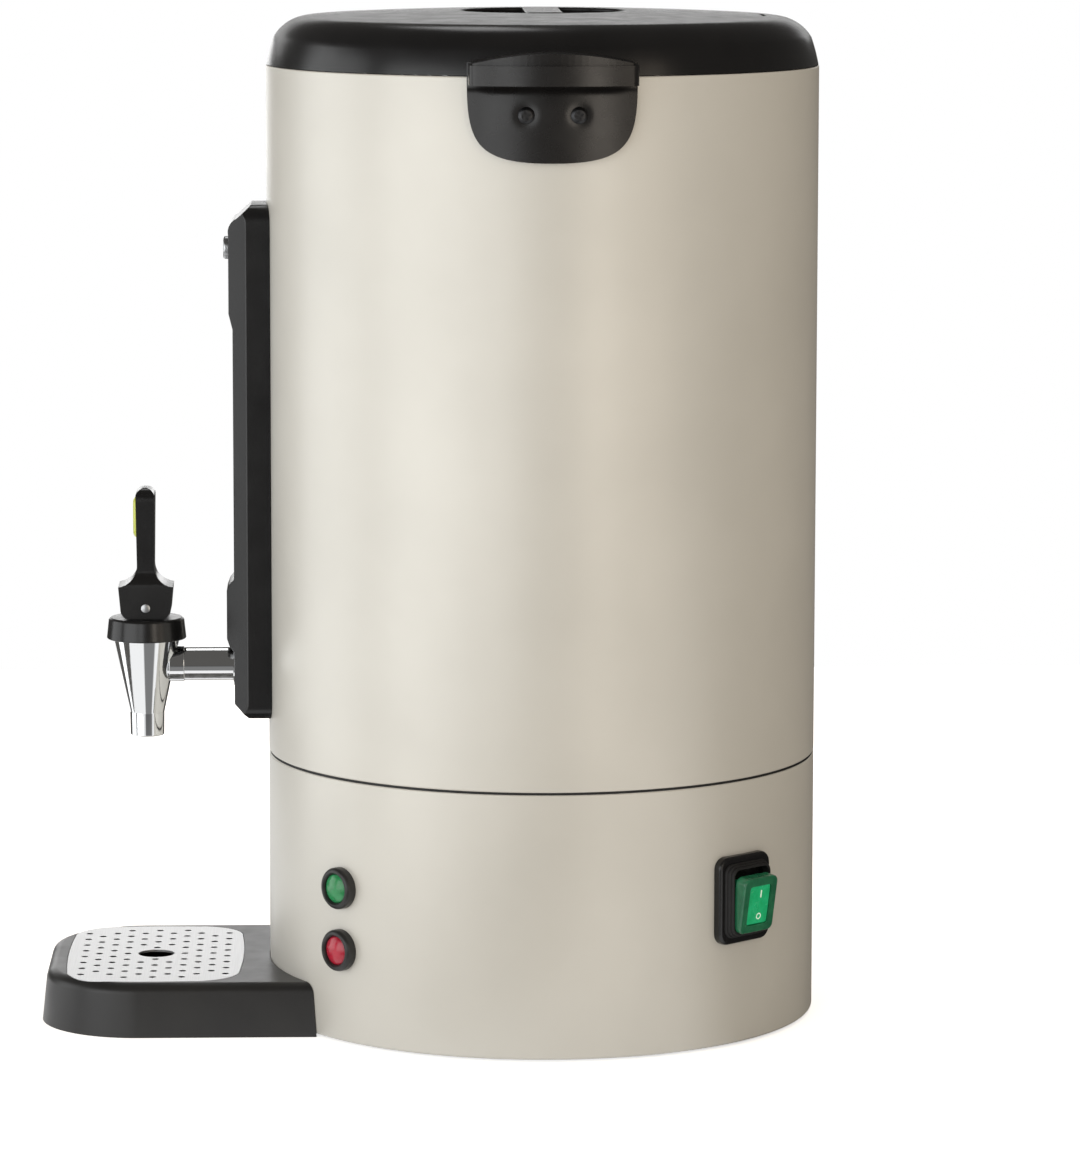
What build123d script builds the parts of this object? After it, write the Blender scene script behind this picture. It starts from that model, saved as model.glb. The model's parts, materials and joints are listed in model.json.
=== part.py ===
from build123d import *
import os
from math import cos, radians, sin, sqrt, tan

os.makedirs("parts", exist_ok=True)

# Coffee percolator of the 10 litre class, in millimetres.
# +Z is up, the tap and the drip tray face -Y, the lamps and the switch are on the +X side.
# The origin is on the axis of the drum, level with the table.

# Drum, from the table up
body_radius = 125.0
shell_sheet = 1.0
foot_stand_out = 1.0
base_height = 118.5
seam_height = 1.0
body_height = 312.4
edge_round = 0.8

# Fits and cuts
running_gap = 0.3
shaft_gap = 0.05
seat_gap = 0.1
cut_overrun = 5.0
full_turn = 360.0

# Heights of the drum
base_low = foot_stand_out
base_top = base_low + base_height
body_low = base_top + seam_height
body_top = body_low + body_height

# Height of the tap's pipe, which the column, the tap and the tank share
tap_pipe_rise = 38.8
tap_pipe_height = body_low + tap_pipe_rise

# Base shell
base_panel_turn = 20.0
base_rim_width = 4.0
base_recess = 3.5
base_flange_width = 19.0
base_bottom_round = 1.5
spigot_height = 7.5
spigot_depth = 10.0
deck_width = 13.0
base_flange_radius = body_radius - base_flange_width
deck_radius = body_radius - deck_width
spigot_radius = body_radius - shell_sheet - running_gap
flange_low = base_low + base_recess
flange_top = flange_low + shell_sheet

# Gasket in the seam
seam_inset = 0.5
seam_gasket_width = 0.5

# Body shell
body_flange_width = 6.0
body_flange_radius = body_radius - body_flange_width

# Base plate, its feet and screws
plate_sheet = 1.2
plate_top = flange_top + plate_sheet
plate_slot_count = 10
plate_slot_length = 26.0
plate_slot_width = 4.0
plate_slot_inset = 36.0
foot_count = 4
foot_radius = 7.2
foot_inset = 11.7
foot_round = 0.8
foot_neck_radius = 2.6
foot_head_radius = 4.2
foot_head_height = 1.8
foot_turn = 22.5
foot_head_taper = 22.5
plate_screw_head_radius = 3.4
plate_screw_head_height = 1.8
plate_screw_radius = 1.9
plate_screw_length = 8.0
plate_screw_turn = 67.5
plate_slot_pitch_radius = base_flange_radius - plate_slot_inset
foot_pitch_radius = body_radius - foot_inset

# Inner tank with a well in its floor
tank_inset = 10.0
tank_sheet = 0.8
tank_flange_inset = 2.7
tank_bottom_round = 8.0
tank_floor_lift = 12.7
well_radius = 30.8
well_depth = 10.0
well_round = 3.0
well_lip_round = 2.0
tank_radius = body_radius - tank_inset
tank_flange_radius = body_radius - tank_flange_inset
tank_floor_low = body_low + tank_floor_lift
well_low = tank_floor_low - well_depth
well_floor = well_low + tank_sheet
tank_rim_top = body_top + tank_sheet
tank_bore_radius = tank_radius - tank_sheet

# Rim collar with the notches that let the lid's lugs through
collar_inset = 4.1
collar_overhang = 4.6
collar_height = 4.0
collar_round = 1.0
lug_count = 3
lug_half_angle = 10.0
notch_half_angle = 13.0
collar_radius = body_radius - collar_inset
collar_bore_radius = tank_radius - collar_overhang
collar_top = tank_rim_top + collar_height

# Lid seal
seal_inset = 4.9
seal_width = 5.0
seal_height = 2.3
seal_radius = collar_radius - seal_inset
seal_top = collar_top + seal_height

# Lid liner with its lugs
liner_margin = 2.0
liner_sheet = 0.8
liner_vent_radius = 2.0
liner_radius = seal_radius + liner_margin
liner_top = seal_top + liner_sheet
lug_stem_width = 3.0
lug_stem_radius = collar_bore_radius - running_gap - shaft_gap
lug_radius = tank_bore_radius - 2 * running_gap
lug_height = 4.0
lug_top = tank_rim_top - running_gap
notch_radius = lug_radius + running_gap

# Lid shell
lid_low = body_top + running_gap
lid_side_height = 12.2
lid_side_lean = 3.3
lid_side_bulge = 0.25
lid_shoulder_height = 9.2
lid_shoulder_reach = 14.7
lid_shoulder_reach_share = 0.333
lid_shoulder_drop_share = 0.4
lid_dome_height = 2.9
lid_wall = 2.5
lid_skirt_wall = 2.0
recess_radius = 37.0
recess_depth = 13.5
grip_width = 16.5
boss_count = 6
boss_radius = 4.0
boss_inset = 38.0
boss_hole_radius = 1.4
vent_radius = 1.6
vent_inset = 25.0
vent_slot_inset = 18.0
vent_slot_width = 2.0
vent_slot_half_angle = 7.0
lid_radius = body_radius - running_gap
boss_pitch_radius = liner_radius - boss_inset
vent_place = liner_radius - vent_inset
vent_slot_radius = liner_radius - vent_slot_inset
lid_shoulder_low = lid_low + lid_side_height
lid_dome_low = lid_shoulder_low + lid_shoulder_height
lid_top = lid_dome_low + lid_dome_height
lid_side_radius = lid_radius - lid_side_lean
lid_dome_radius = lid_side_radius - lid_shoulder_reach
recess_floor = lid_top - recess_depth

# Lid screws
lid_screw_radius = 1.4
lid_screw_length = 8.0
lid_screw_head_radius = 3.2
lid_screw_head_height = 1.8

# Pump stem with its bell foot and its valve disc
stem_radius = 5.0
stem_wall = 0.8
stem_headroom = 14.0
bell_radius = 27.0
bell_sheet = 1.0
bell_rim_height = 2.0
bell_cone_height = 9.0
chamber_radius = 12.0
chamber_height = 8.0
chamber_cone_height = 7.0
valve_seat_radius = 4.0
valve_radius = 9.0
valve_sheet = 1.0
basket_stop_radius = 9.0
basket_stop_sheet = 2.0
basket_drop = 106.0
bell_notch_count = 6
bell_notch_radius = 1.5
stem_top = seal_top - stem_headroom
chamber_low = well_floor + bell_rim_height + bell_cone_height
chamber_top = chamber_low + chamber_height
stem_low = chamber_top + chamber_cone_height
stem_bore_radius = stem_radius - stem_wall
basket_low = stem_top - basket_drop

# Coffee basket and its spreader
basket_radius = 75.0
basket_depth = 90.0
basket_sheet = 0.8
basket_lip = 3.0
basket_sleeve_depth = 84.0
basket_sleeve_wall = 1.0
basket_ring_radii = (22.0, 38.0, 54.0)
basket_ring_hole_counts = (8, 12, 16)
basket_hole_radius = 1.8
basket_top = basket_low + basket_depth
sleeve_bore_radius = stem_radius + running_gap
spreader_sheet = 0.8
spreader_rim_height = 4.0
spreader_collar_height = 5.0
spreader_radius = basket_radius + basket_lip - running_gap
spreader_low = basket_top

# Lift handles
handle_half_width = 36.8
handle_drop = 37.0
handle_side_drop = 2.9
handle_hood_drop = 2.6
handle_end_rise = 7.0
handle_front_rise = 6.6
handle_crown_rise = 11.7
handle_reach = 27.0
handle_end_reach = 21.0
handle_front_crown = 0.4
handle_plate = 4.6
handle_wall = 3.0
handle_pocket_depth = 7.5
handle_side_shares = ((0.959, 0.387), (0.815, 0.762), (0.56, 0.947))
handle_low = body_top - handle_drop
handle_side_low = body_top - handle_side_drop
handle_hood_low = body_top - handle_hood_drop
handle_end_top = body_top + handle_end_rise
handle_front_top = body_top + handle_front_rise
handle_crown_top = body_top + handle_crown_rise
handle_back_radius = body_radius + seat_gap
handle_plate_radius = handle_back_radius + handle_plate
handle_front = body_radius + handle_reach
handle_end = body_radius + handle_end_reach
handle_screw_spacing = 22.8
handle_screw_drop = 16.3
handle_screw_height = body_top - handle_screw_drop
handle_screw_head_radius = 3.7
handle_screw_head_height = 2.2
handle_screw_radius = 2.0
handle_screw_length = 11.0
handle_screw_sink = 2.6
handle_dish_radius = 5.2

# Gauge column on the front of the body
column_half_width = 21.0
column_foot_rise = 15.9
column_head_drop = 62.6
column_depth = 15.4
column_side_depth = 9.3
column_face_half_width = 13.0
column_bulge = 3.4
column_block_bulge = 1.8
column_corner_round = 8.0
column_foot_drop = 7.0
column_foot_depth = 9.0
column_bulge_rise = 7.7
column_bulge_low_ramp = 5.5
column_bulge_height = 27.3
column_bulge_ramp = 5.7
column_block_drop = 49.3
column_block_ramp = 7.0
column_brow_drop = 13.8
column_brow_height = 7.8
column_brow_depth = 4.0
column_brow_bulge_share = 0.3
column_low = body_low + column_foot_rise
column_top = body_top - column_head_drop
column_bulge_low = tap_pipe_height + column_bulge_rise
column_bulge_top = column_bulge_low + column_bulge_height
column_block_low = column_top - column_block_drop
column_block_top = column_top - column_brow_drop
column_front = body_radius + column_depth
window_rise = 47.2
window_head_gap = 10.5
window_low = tap_pipe_height + window_rise
window_height = column_block_low - window_head_gap - window_low
window_width = 10.4
window_round = 2.0
column_screw_drop = 20.3
column_screw_radius = 2.0
column_screw_length = 22.0
column_screw_head_radius = 5.2
column_screw_head_height = 2.4
column_screw_round = 1.0
column_screw_height = column_top - column_screw_drop

# Sight glass, its seals and the scale strip behind it
glass_radius = 4.5
glass_wall = 1.0
glass_head_drop = 32.3
glass_top = column_top - glass_head_drop
glass_seal_wall = 1.6
glass_seal_height = 6.0
glass_gap = 0.1
scale_sheet = 0.8
scale_backing_gap = 0.7
glass_depth = (column_depth + seat_gap) / 2
glass_place = body_radius + glass_depth

# Tap
tap_stand_out = 40.4
tap_pipe_radius = 7.65
tap_pipe_bore_radius = 5.0
tap_pipe_inner_reach = 11.0
tap_flange_radius = 9.8
tap_flange_sheet = 2.0
tap_collar_radius = 8.4
tap_collar_length = 7.0
tap_collar_stand_out = 2.2
tap_cone_radius = 15.1
tap_cone_rise = 9.7
tap_neck_height = 8.5
tap_cone_low_radius = 7.9
tap_cone_height = 31.8
tap_nozzle_radius = 7.75
tap_nozzle_height = 10.8
tap_nozzle_bore_radius = 5.6
tap_nozzle_bore_height = 10.6
tap_seat_radius = 6.2
tap_seat_height = 12.6
tap_wall = 1.9
tap_gauge_port_radius = 2.0
tap_reach = column_front + tap_stand_out
tap_pipe_inner_end = tank_radius - tap_pipe_inner_reach
tap_cone_top = tap_pipe_height + tap_cone_rise
tap_cone_low = tap_cone_top - tap_cone_height
tap_low = tap_cone_low - tap_nozzle_height
tap_neck_top = tap_cone_top + tap_neck_height
tap_chamber_radius = tap_cone_radius - tap_wall
tap_seat_low = tap_low + tap_seat_height
glass_foot_gap = 1.05
glass_low = tap_pipe_height + tap_pipe_radius + glass_foot_gap

# Tap's wall parts
sleeve_wall = 3.4
tap_gasket_height = 2.0
nut_height = 6.0
nut_radius = 13.0
tap_thread_gap = 0.1

# Tap cap
cap_foot_rise = 2.2
cap_low = tap_cone_top + cap_foot_rise
cap_low_radius = 18.15
cap_top_radius = 17.1
cap_plate = 3.5
cap_round = 1.5
cap_top = tap_neck_top + cap_plate

# Tap lever on its pin, and the stem that it lifts
pin_height_over_cap = 5.2
pin_radius = 2.3
lever_half_width = 11.0
lever_swing = 40.0
cam_lift_per_radian = 6.6
cam_gap = 0.2
cam_steps = 8
lever_flat_back = 8.0
lever_back_round_width = 11.0
lever_back_round_rise = 3.4
lever_shoulder_rise = 10.6
lever_shoulder_half_depth = 12.4
lever_waist_rise = 20.0
lever_waist_half_depth = 3.9
lever_top_rise = 54.7
lever_top_half_depth = 4.3
lever_top_crown = 3.2
lever_blade_half_width = 7.5
lever_blade_top_half_width = 9.5
lever_blade_rise = 17.0
lever_blade_top_round = 6.0
lever_flare_bulge_share = 0.3
insert_low_rise = 28.3
insert_height = 21.5
insert_half_width = 5.5
insert_sheet = 1.6
insert_bulge = 1.7
slot_spare_angle = 5.0
eye_radius = 4.6
eye_half_width = 3.0
rod_radius = 2.6
pin_place_height = cap_top + pin_height_over_cap
cam_rest = pin_height_over_cap - cam_gap

# Seat cup and spring on the tap stem
cup_low_lift = 4.6
cup_height = 8.4
cup_bore_depth = 5.0
spring_plate_radius = 7.0
spring_plate_sheet = 1.5
spring_radius = 6.4
spring_wall = 1.2
cup_low = tap_seat_low + cup_low_lift
cup_top = cup_low + cup_height
spring_low = cup_top + spring_plate_sheet
spring_top = tap_neck_top

# Drip tray
tray_half_width = 70.8
tray_lip = 47.8
tray_height = 24.0
tray_corner_round = 45.0
tray_draft = 6.0
tray_edge_round = 4.6
tray_floor = 3.5
tray_ledge_width = 4.0
tray_back_gap = 0.3
grid_setback = 3.3
grid_half_width = 62.0
grid_half_depth = 40.3
grid_corner_half_width = 58.0
grid_corner_half_depth = 37.4
grid_corner_round = 20.0
grid_sheet = 1.0
grid_hole_radius = 1.6
grid_pitch = 6.5
grid_rows = 17
grid_columns = 11
grid_edge_columns = 3
grid_centre_hole_radius = 8.3
grid_centre_clear = 10.0
grid_hole_sides = 8
tray_front = tap_reach + tray_lip
grid_centre = tap_reach - grid_setback
grid_low = tray_height - grid_sheet

# Lamps
lamp_azimuth = -47.5
lamp_rises = (41.9, 70.0)
lamp_heights = [base_low + rise for rise in lamp_rises]
lamp_ring_radius = 9.35
lamp_ring_height = 4.5
lamp_ring_edge = 1.4
lamp_ring_inner_radius = 6.2
lamp_lens_radius = 5.5
lamp_lens_side = 3.8
lamp_lens_height = 5.3
lamp_barrel_radius = 6.0
lamp_barrel_length = 20.0
lamp_blade_length = 8.0
lamp_blade_width = 4.8
lamp_blade_sheet = 0.8
lamp_blade_gap = 2.5
lamp_nut_radius = 9.0
lamp_nut_height = 3.0

# Rocker switch
switch_azimuth = 43.3
switch_rise = 66.0
switch_height = base_low + switch_rise
switch_width = 32.5
switch_tall = 39.6
switch_corner = 5.5
switch_plate = 3.0
switch_plate_round = 1.4
switch_ring_width = 27.4
switch_ring_tall = 33.4
switch_ring_corner = 4.5
switch_ring_height = 7.0
switch_web = 0.8
switch_opening_width = 22.7
switch_opening_tall = 28.6
switch_opening_corner = 3.5
switch_body_width = 21.4
switch_body_tall = 29.4
switch_body_depth = 28.0
switch_cavity_width = 17.4
switch_cavity_tall = 24.0
switch_cavity_depth = 6.5
rocker_pivot_depth = 1.5
rocker_tilt = 8.7
rocker_width = 15.8
rocker_tall = 19.6
rocker_low = 3.0
rocker_face = 12.3
rocker_stub_radius = 1.4
rocker_stub_gap = 0.5
boot_width = 21.7
boot_tall = 25.4
boot_corner = 3.0
boot_low = 7.0
boot_face = 12.95
boot_round = 0.8
switch_blade_length = 9.0
switch_blade_width = 6.3
switch_blade_sheet = 0.8
switch_blade_gap = 4.5

# Cord inlet
inlet_azimuth = 180.0
inlet_rise = 29.0
inlet_height = base_low + inlet_rise
inlet_flange_radius = 11.0
inlet_flange_sheet = 3.0
inlet_shank_radius = 8.5
inlet_nose_radius = 7.0
inlet_nose_length = 9.0
inlet_bore_radius = 4.2
inlet_neck_radius = 8.0
inlet_neck_length = 8.0

# Heaters and controls
heat_plate_radius = 27.0
heat_plate_height = 3.5
pump_heater_radius = 17.0
heater_width = 8.0
heater_height = 8.0
heater_round = 3.0
warm_heater_radius = 70.0
heater_sweep = 320.0
heater_pin_radius = 2.4
heater_pin_length = 4.0
control_radius = 7.5
control_height = 11.0
control_place_radius = 47.0
control_flange = 1.5
control_flange_height = 2.0
thermostat_azimuth = 200.0
cutout_azimuth = 20.0
control_blade_length = 7.0
control_blade_width = 4.8
control_blade_sheet = 0.8
control_blade_gap = 3.5
terminal_length = 52.0
terminal_width = 22.0
terminal_height = 16.0
terminal_pole_count = 5
terminal_screw_radius = 2.8
terminal_screw_depth = 4.0
terminal_place = 55.0


def outward(azimuth):
    """Level direction from the drum's axis"""
    return Vector(cos(radians(azimuth)), sin(radians(azimuth)), 0)


def around(azimuth):
    """Level direction along the drum's wall"""
    return Vector(-sin(radians(azimuth)), cos(radians(azimuth)), 0)


def wall_plane(azimuth, height, stand_out=0):
    """Plane that touches the drum, with its normal pointing outwards"""
    origin = outward(azimuth) * (body_radius + stand_out) + Vector(0, 0, height)
    return Plane(origin=origin, x_dir=around(azimuth), z_dir=outward(azimuth))


def turning_plane(azimuth, height):
    """Plane for the profile of a round piece in the drum's wall, whose Y points outwards"""
    origin = outward(azimuth) * body_radius + Vector(0, 0, height)
    return Plane(origin=origin, x_dir=around(azimuth), z_dir=Vector(0, 0, -1))


def turning_axis(azimuth, height):
    """Axis of a round piece in the drum's wall"""
    return Axis(outward(azimuth) * body_radius + Vector(0, 0, height), outward(azimuth))


def dome_rise(radius, height, place):
    """Height on a domed cap of one radius and height, at one distance from its axis"""
    ball_radius = (radius ** 2 + height ** 2) / (2 * height)
    return sqrt(ball_radius ** 2 - place ** 2) - ball_radius + height


def rings_of(piece, radius):
    """Round edges of a piece that have one radius, the lowest first"""
    circles = piece.edges().filter_by(GeomType.CIRCLE)
    return circles.filter_by(lambda edge: abs(edge.radius - radius) < seat_gap).sort_by(Axis.Z)


def wedge(half_angle, reach):
    """Pointed sketch that opens by twice the half angle along local X"""
    rise = reach * tan(radians(half_angle))
    Polygon((0, 0), (reach, -rise), (reach, rise), align=None)


# Base shell: a rolled drum with a turned-in rim below
with BuildPart() as base_shell:
    with BuildSketch(Plane.XZ):
        with BuildLine():
            Polyline(
                (body_radius - base_rim_width, flange_low),
                (body_radius - base_rim_width, base_low),
                (body_radius, base_low),
                (body_radius, base_top),
            )
            offset(amount=shell_sheet, side=Side.LEFT, kind=Kind.INTERSECTION)
        make_face()
    revolve(axis=Axis.Z)
    outer_rings = rings_of(base_shell, body_radius)
    fillet(outer_rings[0], base_bottom_round)
    fillet(rings_of(base_shell, body_radius)[-1], edge_round)
    for height in lamp_heights:
        with BuildSketch(wall_plane(lamp_azimuth, height, -cut_overrun)):
            Circle(lamp_barrel_radius + shaft_gap)
        extrude(amount=2 * cut_overrun, mode=Mode.SUBTRACT)
    with BuildSketch(wall_plane(switch_azimuth, switch_height, -cut_overrun)):
        Rectangle(switch_body_width + 2 * shaft_gap, switch_body_tall + 2 * shaft_gap)
    extrude(amount=2 * cut_overrun, mode=Mode.SUBTRACT)
    with BuildSketch(wall_plane(inlet_azimuth, inlet_height, -cut_overrun)):
        Circle(inlet_neck_radius + shaft_gap)
    extrude(amount=2 * cut_overrun, mode=Mode.SUBTRACT)

# Four panels of the base shell, rolled one by one and welded along their upright edges
base_panels = {}
for step, side in enumerate(("right", "rear", "left", "front")):
    with BuildPart() as base_panel:
        add(base_shell.part)
        with BuildSketch(Plane.XY):
            Rectangle(
                2 * body_radius,
                2 * body_radius,
                rotation=base_panel_turn + step * full_turn / 4 - full_turn / 8,
                align=Align.MIN,
            )
        extrude(amount=base_top, mode=Mode.INTERSECT)
    base_panels[f"base_shell_{side}"] = base_panel

# Foot ring, on the base shell's turned-in rim
with BuildPart() as foot_ring:
    with BuildSketch(Plane.XY.offset(flange_low)):
        Circle(spigot_radius)
        Circle(base_flange_radius, mode=Mode.SUBTRACT)
        with PolarLocations(foot_pitch_radius, foot_count, foot_turn):
            Circle(foot_neck_radius + shaft_gap, mode=Mode.SUBTRACT)
        with PolarLocations(foot_pitch_radius, foot_count, plate_screw_turn):
            Circle(plate_screw_radius + shaft_gap, mode=Mode.SUBTRACT)
    extrude(amount=shell_sheet)

# Joint ring inside the top of the base shell: a spigot for the body shell, with a deck
with BuildPart() as joint_ring:
    with BuildSketch(Plane.XZ):
        with BuildLine():
            Polyline(
                (spigot_radius, base_top - spigot_depth),
                (spigot_radius, base_top + spigot_height),
                (deck_radius, base_top + spigot_height),
            )
            offset(amount=shell_sheet, side=Side.LEFT, kind=Kind.INTERSECTION)
        make_face()
    revolve(axis=Axis.Z)

# Gasket that shows as a dark line in the seam of the drum
with BuildPart() as seam_gasket:
    with BuildSketch(Plane.XY.offset(base_top)):
        Circle(body_radius - seam_inset)
        Circle(body_radius - seam_inset - seam_gasket_width, mode=Mode.SUBTRACT)
    extrude(amount=seam_height)

# Base plate with vent slots, which lies on the base shell's flange
with BuildPart() as base_plate:
    with BuildSketch(Plane.XY.offset(flange_top)):
        Circle(spigot_radius)
        with PolarLocations(plate_slot_pitch_radius, plate_slot_count):
            SlotOverall(plate_slot_length, plate_slot_width, mode=Mode.SUBTRACT)
        with PolarLocations(foot_pitch_radius, foot_count, foot_turn):
            Circle(foot_neck_radius + shaft_gap, mode=Mode.SUBTRACT)
        with PolarLocations(foot_pitch_radius, foot_count, plate_screw_turn):
            Circle(plate_screw_radius + shaft_gap, mode=Mode.SUBTRACT)
    extrude(amount=plate_sheet)

# Rubber feet, each pushed through the flange and the plate
with BuildPart() as rubber_feet:
    with BuildSketch(Plane.XY):
        with PolarLocations(foot_pitch_radius, foot_count, foot_turn):
            Circle(foot_radius)
    extrude(amount=flange_low)
    fillet(rubber_feet.faces().filter_by(Axis.Z).group_by(Axis.Z)[0].edges(), foot_round)
    with BuildSketch(Plane.XY.offset(flange_low)):
        with PolarLocations(foot_pitch_radius, foot_count, foot_turn):
            Circle(foot_neck_radius)
    extrude(amount=plate_top - flange_low)
    with BuildSketch(Plane.XY.offset(plate_top)):
        with PolarLocations(foot_pitch_radius, foot_count, foot_turn):
            Circle(foot_head_radius)
    extrude(amount=foot_head_height, taper=foot_head_taper)

# Screws that hold the base plate to the flange
with BuildPart() as base_screws:
    with BuildSketch(Plane.XY.offset(flange_low)):
        with PolarLocations(foot_pitch_radius, foot_count, plate_screw_turn):
            Circle(plate_screw_head_radius)
    extrude(amount=-plate_screw_head_height)
    with BuildSketch(Plane.XY.offset(flange_low)):
        with PolarLocations(foot_pitch_radius, foot_count, plate_screw_turn):
            Circle(plate_screw_radius)
    extrude(amount=plate_screw_length)

# Body shell: the tall painted drum, open at both ends, with an inward flange on top
with BuildPart() as body_shell:
    with BuildSketch(Plane.XZ):
        with BuildLine():
            Polyline((body_radius, body_low), (body_radius, body_top), (body_flange_radius, body_top))
            offset(amount=shell_sheet, side=Side.LEFT, kind=Kind.INTERSECTION)
        make_face()
    revolve(axis=Axis.Z)
    fillet(rings_of(body_shell, body_radius), edge_round)
    with BuildSketch(Plane.XZ.offset(tank_radius)):
        with Locations((0, tap_pipe_height)):
            Circle(tap_pipe_radius + running_gap)
        with Locations((0, column_screw_height)):
            Circle(column_screw_radius + shaft_gap)
    extrude(amount=body_radius - tank_radius + cut_overrun, mode=Mode.SUBTRACT)
    with BuildSketch(Plane.YZ):
        with Locations((0, handle_screw_height)):
            with GridLocations(handle_screw_spacing, 0, 2, 1):
                Circle(handle_screw_radius + shaft_gap)
    extrude(amount=body_radius + cut_overrun, both=True, mode=Mode.SUBTRACT)

# Inner tank, hung by its rim on the body shell's flange
with BuildPart() as inner_tank:
    with BuildSketch(Plane.XZ):
        with BuildLine():
            FilletPolyline(
                (tank_flange_radius, body_top),
                (tank_radius, body_top),
                (tank_radius, tank_floor_low),
                (well_radius, tank_floor_low),
                (well_radius, well_low),
                (0, well_low),
                radius=[0, tank_bottom_round, well_lip_round, well_round],
            )
            offset(amount=tank_sheet, side=Side.RIGHT, kind=Kind.INTERSECTION)
        make_face()
    revolve(axis=Axis.Z)
    with BuildSketch(Plane.XZ.offset(tank_radius - cut_overrun)):
        with Locations((0, tap_pipe_height)):
            Circle(tap_pipe_radius + tap_thread_gap)
    extrude(amount=2 * cut_overrun, mode=Mode.SUBTRACT)

# Rim collar on the tank's rim
with BuildPart() as rim_collar:
    with BuildSketch(Plane.XY.offset(tank_rim_top)):
        Circle(collar_radius)
        Circle(collar_bore_radius, mode=Mode.SUBTRACT)
    extrude(amount=collar_height)
    fillet(rings_of(rim_collar, collar_radius)[-1], collar_round)
    with BuildSketch(Plane.XY.offset(tank_rim_top)):
        with PolarLocations(0, lug_count):
            wedge(notch_half_angle, tank_radius)
        Circle(notch_radius, mode=Mode.INTERSECT)
    extrude(amount=collar_height, mode=Mode.SUBTRACT)

# Soft seal between the collar and the lid's liner
with BuildPart() as lid_seal:
    with BuildSketch(Plane.XY.offset(collar_top)):
        Circle(seal_radius)
        Circle(seal_radius - seal_width, mode=Mode.SUBTRACT)
    extrude(amount=seal_height)

# Lid liner: a steel disc with hooked lugs that turn under the collar
with BuildPart() as lid_liner:
    with BuildSketch(Plane.XY.offset(seal_top)):
        Circle(liner_radius)
        with Locations((0, -vent_place)):
            Circle(liner_vent_radius, mode=Mode.SUBTRACT)
        with PolarLocations(boss_pitch_radius, boss_count):
            Circle(lid_screw_radius + shaft_gap, mode=Mode.SUBTRACT)
    extrude(amount=liner_sheet)
    with BuildSketch(Plane.XY.offset(lug_top - lug_height)):
        with PolarLocations(0, lug_count):
            wedge(lug_half_angle, liner_radius)
        Circle(lug_stem_radius, mode=Mode.INTERSECT)
        Circle(lug_stem_radius - lug_stem_width, mode=Mode.SUBTRACT)
    extrude(amount=seal_top - lug_top + lug_height)
    with BuildSketch(Plane.XY.offset(lug_top - lug_height)):
        with PolarLocations(0, lug_count):
            wedge(lug_half_angle, liner_radius)
        Circle(lug_radius, mode=Mode.INTERSECT)
        Circle(lug_stem_radius - lug_stem_width, mode=Mode.SUBTRACT)
    extrude(amount=lug_height)

# Lid shell: a domed moulding with a round finger recess and a grip bar across it
with BuildPart() as lid_shell:
    with BuildSketch(Plane.XZ):
        with BuildLine():
            ThreePointArc(
                (lid_radius, lid_low),
                (lid_radius - lid_side_lean / 2 + lid_side_bulge, (lid_low + lid_shoulder_low) / 2),
                (lid_side_radius, lid_shoulder_low),
            )
            ThreePointArc(
                (lid_side_radius, lid_shoulder_low),
                (
                    lid_side_radius - lid_shoulder_reach * lid_shoulder_reach_share,
                    lid_dome_low - lid_shoulder_height * lid_shoulder_drop_share,
                ),
                (lid_dome_radius, lid_dome_low),
            )
            ThreePointArc(
                (lid_dome_radius, lid_dome_low),
                (
                    lid_dome_radius / 2,
                    lid_dome_low + dome_rise(lid_dome_radius, lid_dome_height, lid_dome_radius / 2),
                ),
                (0, lid_top),
            )
            Polyline((0, lid_top), (0, lid_low), (lid_radius, lid_low))
        make_face()
    revolve(axis=Axis.Z)
    with BuildSketch(Plane.XZ):
        with BuildLine():
            Polyline(
                (0, lid_low),
                (lid_radius - lid_skirt_wall, lid_low),
                (lid_side_radius - lid_skirt_wall, lid_shoulder_low),
                (lid_dome_radius - lid_wall, lid_dome_low - lid_wall),
                (0, lid_top - lid_wall),
                close=True,
            )
        make_face()
    revolve(axis=Axis.Z, mode=Mode.SUBTRACT)
    with BuildSketch(Plane.XY.offset(recess_floor - lid_wall)):
        Circle(recess_radius + lid_wall)
    extrude(amount=recess_depth)
    with BuildSketch(Plane.XY.offset(liner_top)):
        with PolarLocations(boss_pitch_radius, boss_count):
            Circle(boss_radius)
    extrude(amount=lid_dome_low - liner_top)
    with BuildSketch(Plane.XY.offset(liner_top)):
        with PolarLocations(boss_pitch_radius, boss_count):
            Circle(boss_hole_radius + shaft_gap)
    extrude(amount=lid_screw_length, mode=Mode.SUBTRACT)
    with BuildSketch(Plane.XY.offset(recess_floor)):
        Circle(recess_radius)
        Rectangle(2 * recess_radius, grip_width, mode=Mode.SUBTRACT)
    extrude(amount=recess_depth + cut_overrun, mode=Mode.SUBTRACT)
    with BuildSketch(Plane.XY.offset(liner_top)):
        with Locations((0, -vent_place)):
            Circle(vent_radius)
        vent_arc = CenterArc(
            (0, 0),
            vent_slot_radius,
            90 - vent_slot_half_angle,
            2 * vent_slot_half_angle,
            mode=Mode.PRIVATE,
        )
        SlotArc(vent_arc, vent_slot_width)
    extrude(amount=lid_top - liner_top, mode=Mode.SUBTRACT)

# Screws that hold the liner to the lid
with BuildPart() as lid_screws:
    with BuildSketch(Plane.XY.offset(seal_top)):
        with PolarLocations(boss_pitch_radius, boss_count):
            Circle(lid_screw_head_radius)
    extrude(amount=-lid_screw_head_height)
    with BuildSketch(Plane.XY.offset(seal_top)):
        with PolarLocations(boss_pitch_radius, boss_count):
            Circle(lid_screw_radius)
    extrude(amount=lid_screw_length)

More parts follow.
